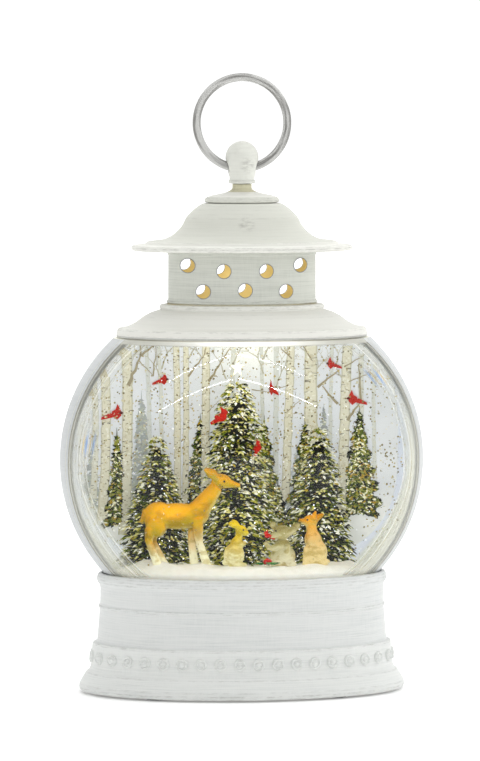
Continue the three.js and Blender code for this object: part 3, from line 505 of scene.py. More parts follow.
def rounded(points, radius, steps=5):
    """The outline with each inner corner rounded, as (half-width, height, wear).

    wear is 1 on an outward corner."""
    out = [(*points[0], 0.0)]
    for before, corner, after in zip(points, points[1:], points[2:]):
        b, c, a = Vector(before), Vector(corner), Vector(after)
        reach = min(radius, 0.45 * (b - c).length, 0.45 * (a - c).length)
        start, end = c + (b - c).normalized() * reach, c + (a - c).normalized() * reach
        turn = (c - b).normalized().cross((a - c).normalized())
        wear = min(max(turn * 1.6, 0), 1)
        for i in range(steps + 1):
            t = i / steps
            spot = start * (1 - t) ** 2 + c * 2 * t * (1 - t) + end * t**2
            out.append((spot.x, spot.y, wear * math.sin(math.pi * t)))
    return out + [(*points[-1], 0.0)]


def turned(name, rings, material, sides, loop=False):
    """A solid from stacked rings of (half-width, half-depth, height, wear).

    A loop joins its last ring to its first."""
    verts, faces, wear, rows = [], [], [], []
    for half_width, half_depth, height, worn in rings:
        if half_width < 1e-6:
            rows.append([len(verts)] * sides)
            verts.append((0, 0, height))
            wear.append(worn)
            continue
        rows.append(list(range(len(verts), len(verts) + sides)))
        for angle in angles(sides):
            verts.append((half_width * math.cos(angle), half_depth * math.sin(angle), height))
            wear.append(worn)
    pairs = list(zip(rows, rows[1:])) + ([(rows[-1], rows[0])] if loop else [])
    for low, high in pairs:
        for i in range(sides):
            j = (i + 1) % sides
            face = [low[i], low[j], high[j], high[i]]
            faces.append([v for k, v in enumerate(face) if v not in face[:k]])
    faces = [face for face in faces if len(face) > 2]
    if not loop:
        faces += [row if rows.index(row) else row[::-1] for row in (rows[0], rows[-1]) if row[0] != row[1]]
    made = solid(name, verts, faces, material, smooth=35)
    point_values(made, "wear", "FLOAT", wear)
    return made


def oval_rings(outline, inset=0.0):
    """Casing ovals for outline points of (half-width, height, wear), moved inwards by inset."""
    return [(a - inset, a * DEPTH_RATIO - inset, z, worn) for a, z, worn in outline]


def oval_shell(name, outer, inner, material, thickness):
    """A hollow casing piece: an outside outline upwards, then an inside outline downwards."""
    inside = oval_rings([(a, z, 0.0) for a, z in inner], thickness)
    return turned(name, oval_rings(outer) + inside, material, 192, loop=True)


def angles(count):
    return [2 * math.pi * i / count for i in range(count)]


def tube_faces(rings, sides, start=0, closed=False, flip=False):
    """Faces of a tube of rings of points. A closed tube joins its last ring to its first."""
    faces = []
    for ring in range(rings if closed else rings - 1):
        near, far = start + ring * sides, start + (ring + 1) % rings * sides
        for i in range(sides):
            j = (i + 1) % sides
            face = [near + i, near + j, far + j, far + i] if flip else [near + i, far + i, far + j, near + j]
            faces.append(face)
    return faces


def two_fans(count):
    """Faces from a rim to the two points listed after it, one on each side."""
    pairs = [(i, (i + 1) % count) for i in range(count)]
    return [[i, j, count] for i, j in pairs] + [[j, i, count + 1] for i, j in pairs]


def ball(centre, radii, turn=None, sides=24, rings=14):
    """Points and faces of an ellipsoid in millimetres."""
    work = bmesh.new()
    bmesh.ops.create_uvsphere(work, u_segments=sides, v_segments=rings, radius=1)
    move = Matrix.Translation(centre) @ (turn or Matrix()) @ Matrix.Diagonal((*radii, 1))
    bmesh.ops.transform(work, matrix=move, verts=work.verts)
    return drained(work)


def limb(start, end, start_radius, end_radius, sides=14):
    """Points and faces of a tapered rod with round ends."""
    start, end = Vector(start), Vector(end)
    along = end - start
    work = bmesh.new()
    bmesh.ops.create_cone(
        work, cap_ends=True, segments=sides, radius1=start_radius, radius2=end_radius, depth=along.length
    )
    turn = along.to_track_quat("Z", "Y").to_matrix().to_4x4()
    bmesh.ops.transform(work, matrix=Matrix.Translation((start + end) / 2) @ turn, verts=work.verts)
    return drained(work)


def drained(work):
    """The points and faces of a bmesh, which is then freed."""
    work.verts.index_update()
    shape = [v.co.to_tuple() for v in work.verts], [[v.index for v in face.verts] for face in work.faces]
    work.free()
    return shape


def joined(shapes):
    verts, faces = [], []
    for points, polygons in shapes:
        start = len(verts)
        verts += points
        faces += [[start + i for i in polygon] for polygon in polygons]
    return verts, faces


def sculpt(name, shapes, material, voxel=0.35, passes=6):
    """One smooth body from overlapping balls and limbs."""
    verts, faces = joined(shapes)
    made = solid(name, verts, faces, material, smooth=None)
    remesh = made.modifiers.new("remesh", "REMESH")
    remesh.mode = "VOXEL"
    remesh.voxel_size = voxel * MM
    soften = made.modifiers.new("soften", "SMOOTH")
    soften.factor = 0.5
    soften.iterations = passes
    applied(made)
    shade(made, 180)
    return made


# ---------------------------------------------------------------- base

BASE_PAINT = whitewash("base_whitewash", rgb(216, 218, 216), rgb(187, 192, 191), 1.0)
# Lighter copy of the base whitewash for the foot and the bead band: painted light.
FOOT_LIT_PAINT = whitewash("foot_lit_whitewash", rgb(222, 224, 221), rgb(197, 201, 199), 0.9)
KNOB_PAINT = whitewash(
    "knob_whitewash", rgb(211, 212, 204), rgb(193, 194, 185), 0.8, rubbed_spot=(2.4, -7.4, 247)
)
NECK_PAINT = whitewash("neck_whitewash", rgb(196, 192, 164), rgb(166, 162, 130), 1.2)
# Darker copy of the roof whitewash for the steep faces: painted shade, with one rubbed spot of real wear.
ROOF_SHADED_PAINT = whitewash(
    "roof_shaded_whitewash", rgb(203, 204, 195), rgb(189, 191, 181), 0.8, rubbed_spot=(1, -14, 220)
)
TOP_PAINT = whitewash("roof_whitewash", rgb(219, 219, 212), rgb(207, 208, 200), 0.6)
# Darker copy of the whitewash for the vent gallery: painted shade.
GALLERY_SHADED_PAINT = whitewash("gallery_shaded_whitewash", rgb(196, 198, 189), rgb(168, 171, 162), 1.3)
# Grey copy of the whitewash for the outside of the globe's back: painted shade on white paint.
RIM_SHADED_PAINT = whitewash("globe_shaded_whitewash", rgb(196, 199, 199), rgb(172, 176, 177), 0.8)
# Dark copy of the whitewash for the skirt's lower edge: a painted shadow line.
EDGE_SHADE_PAINT = whitewash("skirt_edge_shade_whitewash", rgb(190, 191, 186), rgb(142, 142, 137), 1.4)
GALLERY_LAMPLIGHT = lit_finish("gallery_painted_lamplight", rgb(186, 160, 84), rgb(216, 198, 142), 0.25)
LIT_WALL = bright_wall()

BASE_OUTLINE = [
    (74.6, 1.0), (76.2, 1.2), (76.8, 2.6), (76.5, 4.4), (75.5, 6.2), (74.3, 8.3), (73.3, 9.9),
    (71.9, 10.9), (71.3, 12.4), (71.2, 14.1), (70.4, 23.0), (70.0, 23.7), (68.6, 24.0), (68.2, 24.8),
    (67.4, 33.8), (67.0, 39.8), (67.5, 40.2), (67.5, 41.2), (66.9, 41.7), (66.7, 44.0), (66.7, 49.2),
    (67.1, 51.2), (68.1, 52.4), (68.4, 53.8), (68.1, 55.3), (67.3, 56.3), (66.6, 56.4),
]


def base_shell():
    outer = rounded(BASE_OUTLINE, 0.7, steps=4)
    seat = [(66.6, 0.6, 56.4), (66.4, 1.0, 53.6), (64.5, 1.0, 50.0), (64.5, 2.2, 44.0)]
    lower = [(67.6, WALL, 24.0), (70.3, WALL, 12.0), (75.9, WALL, 6.0), (75.9, WALL, 1.0)]
    inner = [(a - inset, a * DEPTH_RATIO - inset, z, 0.0) for a, inset, z in seat + lower]
    made = turned("base_shell_fine", oval_rings(outer) + inner, BASE_PAINT, 256, loop=True)
    line(made, FOOT_LIT_PAINT, lambda spot: spot.z < 23.8)
    place(made, "whitewash_paint", "base_shell")


def around_oval(half_width, count, phase=0.0):
    """Evenly spaced places along a casing oval, as (x, y, outward direction)."""
    half_depth = half_width * DEPTH_RATIO
    fine = 2000
    spots = [
        Vector((half_width * math.sin(t), -half_depth * math.cos(t)))
        for t in (2 * math.pi * i / fine for i in range(fine + 1))
    ]
    lengths = [0.0]
    for a, b in zip(spots, spots[1:]):
        lengths.append(lengths[-1] + (b - a).length)
    found, i = [], 0
    for k in range(count):
        wanted = lengths[-1] * (k + phase) / count
        while lengths[i] < wanted:
            i += 1
        spot = spots[i]
        out = Vector((spot.x / half_width**2, spot.y / half_depth**2)).normalized()
        found.append((spot, out))
    return found


def bead_band():
    """Ring of round rosettes, each a raised rim around a domed centre."""
    profile = [
        (2.9, -0.6), (2.9, 0.35), (2.6, 0.75), (2.15, 0.8), (1.8, 0.45), (1.5, 0.35), (1.1, 0.75),
        (0.6, 1.0), (0, 1.1),
    ]
    sides = 28
    band_height, band_half_width = 17.2, 71.0
    verts, faces, wear = [], [], []
    for spot, out in around_oval(band_half_width, 39, phase=0.5):
        outward = Vector((out.x, out.y, 0.08)).normalized()
        level = Vector((-out.y, out.x, 0))
        up = outward.cross(level) * -1
        centre = Vector((spot.x, spot.y, band_height))
        start = len(verts)
        for radius, height in profile[:-1]:
            for angle in angles(sides):
                spoke = level * math.cos(angle) + up * math.sin(angle)
                verts.append(centre + spoke * radius + outward * height)
                wear.append(0.5 if height > 0.7 else 0.0)
        verts.append(centre + outward * profile[-1][1])
        wear.append(0.3)
        rows = len(profile) - 1
        faces += tube_faces(rows, sides, start, flip=True)
        tip, last = len(verts) - 1, start + (rows - 1) * sides
        faces += [[last + i, last + (i + 1) % sides, tip] for i in range(sides)]
        faces.append([start + i for i in range(sides)][::-1])
    made = solid("bead_band", verts, faces, FOOT_LIT_PAINT, smooth=50)
    point_values(made, "wear", "FLOAT", wear)
    place(made, "whitewash_paint")


# ---------------------------------------------------------------- lantern top

SKIRT_OUTLINE = [
    (57.6, 166.9), (58.8, 167.0), (58.9, 168.4), (58.4, 170.6), (57.6, 171.3), (55.4, 171.5),
    (53.0, 172.2), (49.6, 174.0), (46.0, 176.7), (43.0, 178.3), (40.0, 179.3), (38.0, 179.9),
    (38.6, 180.5), (38.7, 181.4), (38.0, 182.2), (36.0, 182.4),
]
GALLERY_HALF = 34.6
VENT_HOLES = [
    (-26.3, 200.9), (-9.9, 198.4), (9.9, 198.4), (26.3, 200.9), (-19.3, 188.9), (0, 189.5), (19.3, 188.9),
]
VENT_RADIUS = 3.35
ROOF_OUTLINE = [
    (50.6, 207.3), (51.7, 207.7), (51.9, 208.7), (51.4, 209.7), (49.6, 210.1), (45.6, 210.3),
    (45.0, 210.9), (44.4, 211.5),
    (42.0, 211.9), (38.6, 212.2), (35.7, 212.8), (32.6, 214.4), (30.0, 216.6), (27.8, 219.2), (26.9, 221.2),
    (26.2, 222.6), (24.8, 224.3), (22.6, 226.4), (20.2, 228.2), (18.4, 229.2), (17.4, 229.35),
]
CAP_OUTLINE = [(16.4, 229.6), (17.3, 229.8), (17.6, 230.6), (17.2, 231.6), (16.4, 232.2), (13.4, 233.2)]
KNOB_MIDDLE, KNOB_RADIUS = 250.6, 7.65
RING_RADIUS, WIRE_RADIUS, RING_MIDDLE = 21.2, 1.9, 266.7
BORE_RADIUS, BORE_HEIGHT = 2.95, 246.2


def shoulder_skirt():
    inner = [(37.2, 182.4), (37.2, 180.6), (43.0, 176.4), (50.0, 172.4), (56.8, 169.6), (57.6, 166.9)]
    made = oval_shell("shoulder_skirt_fine", rounded(SKIRT_OUTLINE, 0.8), inner, TOP_PAINT, thickness=1.6)
    # The skirt's lower edge takes the dark copy: a painted shadow line.
    line(made, EDGE_SHADE_PAINT, lambda spot: spot.z < 167.9)
    place(made, "whitewash_paint", "shoulder_skirt")


def vent_gallery():
    low, high = (corner.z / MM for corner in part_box("vent_gallery"))
    outline = [
        (34.2, low), (35.2, low + 0.2), (35.3, low + 1.2), (34.6, low + 1.7),
        (34.5, high - 1.8), (34.9, high - 1.2), (34.9, high - 0.2), (34.2, high),
    ]
    inner = [(34.2, high), (34.2, low)]
    made = oval_shell("vent_gallery_fine", rounded(outline, 0.4), inner, GALLERY_SHADED_PAINT, thickness=2.0)
    rods = []
    for x, z in VENT_HOLES:
        rods.append(limb((x, -30, z), (x, 30, z), VENT_RADIUS, VENT_RADIUS, sides=40))
    verts, faces = joined(rods)
    cut(made, solid("holes", verts, faces, GALLERY_SHADED_PAINT, smooth=None))
    shade(made, 35)
    # The inside takes painted lamp light.
    line(made, GALLERY_LAMPLIGHT, lambda spot: math.hypot(spot.x, spot.y / DEPTH_RATIO) < GALLERY_HALF - 1.2)
    place(made, "whitewash_paint", "vent_gallery")


def vent_rims():
    """A thin dark grey rim round the mouth of each hole, front and back."""
    turns, sides, wire = 40, 6, 0.17
    verts, faces = [], []
    for side in (-1, 1):
        for x, z in VENT_HOLES:
            start = len(verts)
            for angle in angles(turns):
                for around in angles(sides):
                    reach = VENT_RADIUS + wire * math.cos(around)
                    across = x + reach * math.cos(angle)
                    wall = DEPTH_RATIO * math.sqrt(GALLERY_HALF**2 - across**2)
                    out = wall + wire * math.sin(around)
                    verts.append((across, side * out, z + reach * math.sin(angle)))
            tube = tube_faces(turns, sides, start, closed=True)
            faces += tube if side < 0 else [face[::-1] for face in tube]
    made = solid("vent_rims", verts, faces, moulded("hole_rim_finish", rgb(128, 132, 136), 0.5), smooth=60)
    place(made, "whitewash_paint")


def roof():
    inner = [(16.0, 227.0), (22.0, 222.5), (27.0, 215.5), (31.0, 210.0), (31.0, 207.3)]
    rings = oval_rings(rounded(ROOF_OUTLINE, 0.9)) + [(0, 0, 229.35, 0.0), (0, 0, 227.0, 0.0)]
    made = turned("roof_fine", rings + oval_rings([(a, z, 0.0) for a, z in inner]), TOP_PAINT, 192, loop=True)
    # The steep faces above the brim take the darker copy: painted shade.
    line(made, ROOF_SHADED_PAINT, lambda spot: spot.z > 211.6)
    place(made, "whitewash_paint", "roof")


def roof_cap():
    """Oval stepped disc that flares up into the round neck of the knob."""
    flare_start, flare_end = Vector((12.6, 7.0, 233.25)), Vector((4.5, 4.5, 236.9))
    rings = oval_rings(rounded(CAP_OUTLINE, 0.6))
    for i in range(9):
        t = i / 8
        sweep = (1 - t) ** 2.6
        half_width = flare_end.x + (flare_start.x - flare_end.x) * sweep
        half_depth = flare_end.y + (flare_start.y - flare_end.y) * sweep
        rings.append((half_width, half_depth, flare_start.z + (flare_end.z - flare_start.z) * t, 0.25))
    rings.append((4.5, 4.5, 238.2, 0.6))
    made = turned("roof_cap_fine", rings, TOP_PAINT, 128)
    line(made, NECK_PAINT, lambda spot: spot.z > 234.4)
    # The cap's lower step takes the same painted shade.
    line(made, ROOF_SHADED_PAINT, lambda spot: spot.z < 232.3)
    place(made, "whitewash_paint", "roof_cap")


KNOB_OUTLINE = [
    (5.6, 238.5), (6.2, 238.7), (6.35, 239.3), (6.2, 239.9), (5.7, 240.2), (5.75, 241.0), (6.15, 242.6),
    (6.65, 244.6), (7.15, 246.8), (7.5, 248.8),
]


def finial_knob():
    """A ball that narrows to a collar, with a bore across it for the ring."""
    rings = [(r, r, z, worn) for r, z, worn in rounded(KNOB_OUTLINE, 0.4)]
    start = math.acos((KNOB_MIDDLE - KNOB_OUTLINE[-1][1]) / KNOB_RADIUS)
    for i in range(1, 33):
        angle = start + (math.pi - start) * i / 32
        radius = KNOB_RADIUS * math.sin(angle)
        rings.append((radius, radius, KNOB_MIDDLE - KNOB_RADIUS * math.cos(angle), 0.15))
    made = turned("finial_knob_fine", rings, KNOB_PAINT, 96)
    verts, faces = limb((-20, 0, BORE_HEIGHT), (20, 0, BORE_HEIGHT), BORE_RADIUS, BORE_RADIUS, sides=40)
    cut(made, solid("bore", verts, faces, KNOB_PAINT, smooth=None))
    shade(made, 40)
    place(made, "whitewash_paint", "finial_knob")


def carry_ring():
    """Round wire ring. Its run attribute, for the finish, is the distance along and around the wire."""
    turns, sides = 160, 24
    verts, run = [], []
    for i in range(turns):
        angle = 2 * math.pi * i / turns - math.pi / 2
        for j in range(sides):
            around = 2 * math.pi * j / sides
            wobble = 1 + 0.012 * noise.noise(Vector((i * 0.35, j * 0.5, 3.0)))
            radius = RING_RADIUS + WIRE_RADIUS * wobble * math.cos(around)
            depth = WIRE_RADIUS * wobble * math.sin(around)
            verts.append((radius * math.cos(angle), depth, RING_MIDDLE + radius * math.sin(angle)))
            run += [RING_RADIUS * angle * MM, WIRE_RADIUS * around * MM, 0]
    made = solid("carry_ring_fine", verts, tube_faces(turns, sides, closed=True), ring_finish())
    point_values(made, "run", "FLOAT_VECTOR", run)
    place(made, "ring_paint", "carry_ring", body="carry_ring")


# ---------------------------------------------------------------- globe


def ellipsoid_solid(name, inset, material):
    verts, faces = ball(GLOBE_MIDDLE, GLOBE_HALF - Vector((inset,) * 3), sides=128, rings=96)
    return solid(name, verts, faces, material, smooth=None)


def slab(low, high):
    verts = [(x, y, z) for x in (low[0], high[0]) for y in (low[1], high[1]) for z in (low[2], high[2])]
    faces = [(0, 1, 3, 2), (4, 6, 7, 5), (0, 4, 5, 1), (2, 3, 7, 6), (0, 2, 6, 4), (1, 5, 7, 3)]
    return solid("slab", verts, faces, TOP_PAINT, smooth=None)


def globe_half(name, material, near, far, depth=0.0):
    """The part of the globe's wall between two Y planes, from a depth under its outside inwards."""
    made = ellipsoid_solid(name, depth, material)
    cut(made, slab((-FAR, near, GLOBE_BOTTOM), (FAR, far, GLOBE_TOP)), "INTERSECT")
    hollow = ellipsoid_solid("hollow", WALL, material)
    cut(hollow, slab((-FAR, -FAR, 0), (FAR, FAR, GLOBE_TOP - WALL)), "INTERSECT")
    cut(made, hollow)
    shade(made, 30)
    return made


def globe():
    front = globe_half("globe_front_fine", clear_shell_finish(), -FAR, SEAM_Y - SEAM_GAP)
    place(front, "clear_shell", "globe_front")
    # The outside of the back takes the grey copy: painted shade.
    back = globe_half("globe_back_fine", RIM_SHADED_PAINT, SEAM_Y + SEAM_GAP, FAR)
    inner = GLOBE_HALF - Vector((WALL / 2,) * 3)
    line(back, LIT_WALL, lambda spot: Vector([c / r for c, r in zip(spot - GLOBE_MIDDLE, inner)]).length < 1)
    place(back, "whitewash_paint", "globe_back")
    seal_finish = moulded("seal_finish", rgb(196, 195, 184), 0.4)
    seal = globe_half("seam_seal", seal_finish, SEAM_Y - 0.14, SEAM_Y + 0.14, depth=2.0)
    place(seal, "clear_shell")
    water = ellipsoid_solid("water_fill_fine", WALL / 2, water_finish())
    filled = slab((-FAR, -FAR, GLOBE_BOTTOM + 4), (FAR, FAR, GLOBE_TOP - WALL / 2))
    cut(water, filled, "INTERSECT")
    shade(water, 30)
    place(water, "water", "water_fill")


# ---------------------------------------------------------------- printed forest

HAZE = rgb(205, 211, 216)
BIRCH_COLOURS = (  # bark, edge, mark, mottle and light
    rgb(221, 217, 198), rgb(195, 191, 169), rgb(104, 96, 74), rgb(205, 199, 174), rgb(238, 236, 224),
)
PRINT_STEP = 0.06  # how far each layer of the print lies in front of the one before
PRINT_THICKNESS = 0.05


def on_print(x, z, layer):
    """A point on the panel's face. Each layer lies a little in front of the one before."""
    return (x, PANEL_FRONT - PRINT_STEP * layer, z)


def on_wall(x, z, layer):
    """A point on the curved inside wall behind the panel, or nothing where there is no wall."""
    inner = GLOBE_HALF - Vector((WALL,) * 3)
    rest = 1 - (x / inner.x) ** 2 - ((z - GLOBE_MIDDLE.z) / inner.z) ** 2
    if rest < 0.01 or z > GLOBE_TOP - WALL - 0.6:
        return None
    return (x, inner.y * math.sqrt(rest) - 0.25 - PRINT_STEP * layer, z)


def in_panel(x, z, margin=0.6):
    across = abs(x) / (PANEL_HALF[0] - margin)
    rise = abs(z - PANEL_MIDDLE_Z) / (PANEL_HALF[1] - margin)
    return across**PANEL_SQUARENESS + rise**PANEL_SQUARENESS < 1


def ribbon(batch, spine, widths, layer, tint):
    """A flat stroke along a spine of (x, z), on the panel or, in the upper half, on the wall beyond it."""
    sides = []
    for i, (x, z) in enumerate(spine):
        before, after = spine[max(i - 1, 0)], spine[min(i + 1, len(spine) - 1)]
        along = Vector((after[0] - before[0], after[1] - before[1])).normalized()
        across = Vector((-along.y, along.x)) * widths[i] / 2
        sides.append(((x + across.x, z + across.y), (x - across.x, z - across.y)))
    for (a, b), (c, d) in zip(sides, sides[1:]):
        corners = (a, b, d, c)
        inside = all(in_panel(*corner, margin=0.2) for corner in corners)
        if not inside and min(corner[1] for corner in corners) < PANEL_MIDDLE_Z:
            continue
        face = [(on_print if inside else on_wall)(*corner, layer) for corner in corners]
        if None in face:
            continue
        back = [(x, y + PRINT_THICKNESS, z) for x, y, z in face]
        shell = [(0, 1, 2, 3), (7, 6, 5, 4), (0, 4, 5, 1), (1, 5, 6, 2), (2, 6, 7, 3), (3, 7, 4, 0)]
        batch.add(face + back, shell, tint)


def between(a, b, steps, sway, rng):
    """Points from a to b with a gentle random sway."""
    points = []
    for i in range(steps + 1):
        t = i / steps
        drift = sway * math.sin(math.pi * t) * rng.uniform(-1, 1)
        points.append((a[0] + (b[0] - a[0]) * t + drift, a[1] + (b[1] - a[1]) * t))
    return points


def birch(batch, foot, top, width, layer, rng, haze=0.0):
    """A pale trunk with grey edges, mottled bark and short dark marks."""
    bark, edge, mark, mottle, light = (fade(colour, max(haze, 0.08)) for colour in BIRCH_COLOURS)
    length = math.dist(foot, top)
    steps = int(length / 1.5)
    spine = between(foot, top, steps, 0.2, rng)
    widths = [width * (1.08 - 0.2 * i / steps) * rng.uniform(0.96, 1.04) for i in range(steps + 1)]
    ribbon(batch, spine, widths, layer, edge)
    ribbon(batch, spine, [w * 0.78 for w in widths], layer + 0.4, bark)

    def stroke(reach, thickness, offset, tint, lift):
        t = rng.random()
        x, z = foot[0] + (top[0] - foot[0]) * t, foot[1] + (top[1] - foot[1]) * t
        start = x + offset * width
        end = (start + reach, z + rng.uniform(-0.2, 0.3))
        ribbon(batch, [(start, z), end], [thickness, thickness * 0.4], lift, tint)

    for _ in range(int(length * 1.1)):
        stroke(
            width * rng.uniform(0.1, 0.3), rng.uniform(0.4, 1.4), rng.uniform(-0.34, 0.14),
            rng.choice((mottle, light)), layer + 0.6,
        )
    for _ in range(int(length * 0.34)):
        side = rng.choice((-1, 1))
        reach = -side * width * rng.uniform(0.12, 0.45)
        stroke(reach, rng.uniform(0.25, 0.5), side * 0.44, mark, layer + 0.8)


def twigs(batch, root, angle, length, width, layer, tint, rng, depth=3):
    """A fork of fine bare branches."""
    tip = (root[0] + length * math.cos(angle), root[1] + length * math.sin(angle))
    ribbon(batch, between(root, tip, 4, 0.3, rng), [width * (1 - 0.12 * i) for i in range(5)], layer, tint)
    if depth:
        for turn in (-1, 1):
            fork = angle + turn * rng.uniform(0.3, 0.8)
            twigs(batch, tip, fork, length * rng.uniform(0.6, 0.8), width * 0.6, layer, tint, rng, depth - 1)


def fade(colour, haze):
    return tuple(c * (1 - haze) + h * haze for c, h in zip(colour[:3], HAZE[:3])) + (1.0,)


def flake_on_print(batch, x, z, length, width, angle, layer, tint):
    """A tiny leaf-shaped stroke of colour."""
    if not in_panel(x, z, margin=1.2):
        return
    along = Vector((math.cos(angle), math.sin(angle))) * length / 2
    across = Vector((-math.sin(angle), math.cos(angle))) * width / 2
    corners = [(x + step.x, z + step.y) for step in (-along, -across, along, across)]
    face = [on_print(*corner, layer) for corner in corners]
    verts = face + [(x, face[0][1] + PRINT_THICKNESS, z)]
    batch.add(verts, [(0, 1, 2, 3), (1, 0, 4), (2, 1, 4), (3, 2, 4), (0, 3, 4)], tint)


SPRUCE_DARKS = [(rgb(4, 8, 0), 6), (rgb(22, 32, 4), 4), (rgb(52, 66, 10), 3)]
SPRUCE_LIGHTS = [
    (rgb(84, 98, 20), 4), (rgb(150, 150, 62), 3), (rgb(244, 242, 214), 2.5), (rgb(176, 144, 36), 1.5),
]


def pick(palette, rng):
    return rng.choices([tint for tint, _ in palette], [share for _, share in palette])[0]


def printed_spruce(batch, apex, half_width, height, layer, count, rng, haze=0.0, right=FAR, left=-FAR):
    """A flat spruce of leaf strokes, dark ones first and light ones over them. left and right cut it off."""
    stem = [(apex[0], apex[1] - 4), (apex[0], apex[1] + 2.2)]
    ribbon(batch, stem, [0.7, 0.1], layer, fade(rgb(40, 52, 24), haze))
    for i in range(count):
        t = rng.random() ** 0.6
        reach = half_width * (t**0.8) * (0.8 + 0.2 * math.sin(t * height * 0.9))
        spread = rng.uniform(-1, 1)
        x = apex[0] + reach * spread
        z = apex[1] - height * t + rng.uniform(-0.8, 0.8) - 1.6 * abs(spread)
        if not left < x < right:
            continue
        over = i / count > 0.5
        tint = pick(SPRUCE_LIGHTS if over and rng.random() < 0.75 else SPRUCE_DARKS, rng)
        angle = -math.copysign(0.45, spread) + rng.gauss(0, 0.5)
        length = rng.uniform(1.3, 2.4) if over else rng.uniform(2.0, 3.2)
        lift = layer + over + rng.random()
        flake_on_print(batch, x, z, length, length * 0.46, angle, lift, fade(tint, haze))


def printed_bird(batch, x, z, size, facing, layer):
    """A small red bird: body, crest, tail and a dark face."""
    red, dark = rgb(178, 26, 8), rgb(84, 16, 8)
    body = [(-0.3, -0.1), (0.15, -0.42), (0.45, -0.1), (0.42, 0.3), (0.2, 0.75), (0.05, 0.35), (-0.2, 0.2)]
    tail = [(-0.15, -0.25), (-1.0, -0.45), (-0.95, -0.25), (-0.3, 0.1)]
    face = [(0.3, 0.05), (0.5, 0.0), (0.62, 0.12), (0.4, 0.25)]
    for shape, tint, lift in ((tail, red, 0), (body, red, 0.4), (face, dark, 0.8)):
        points = [on_print(x + facing * u * size, z + v * size, layer + lift) for u, v in shape]
        count = len(points)
        back = [(x_back, y + PRINT_THICKNESS, z_back) for x_back, y, z_back in points]
        rim = [(i, (i + 1) % count, count + (i + 1) % count, count + i) for i in range(count)]
        caps = [tuple(range(count)), tuple(range(2 * count - 1, count - 1, -1))]
        batch.add(points + back, caps + rim, tint)


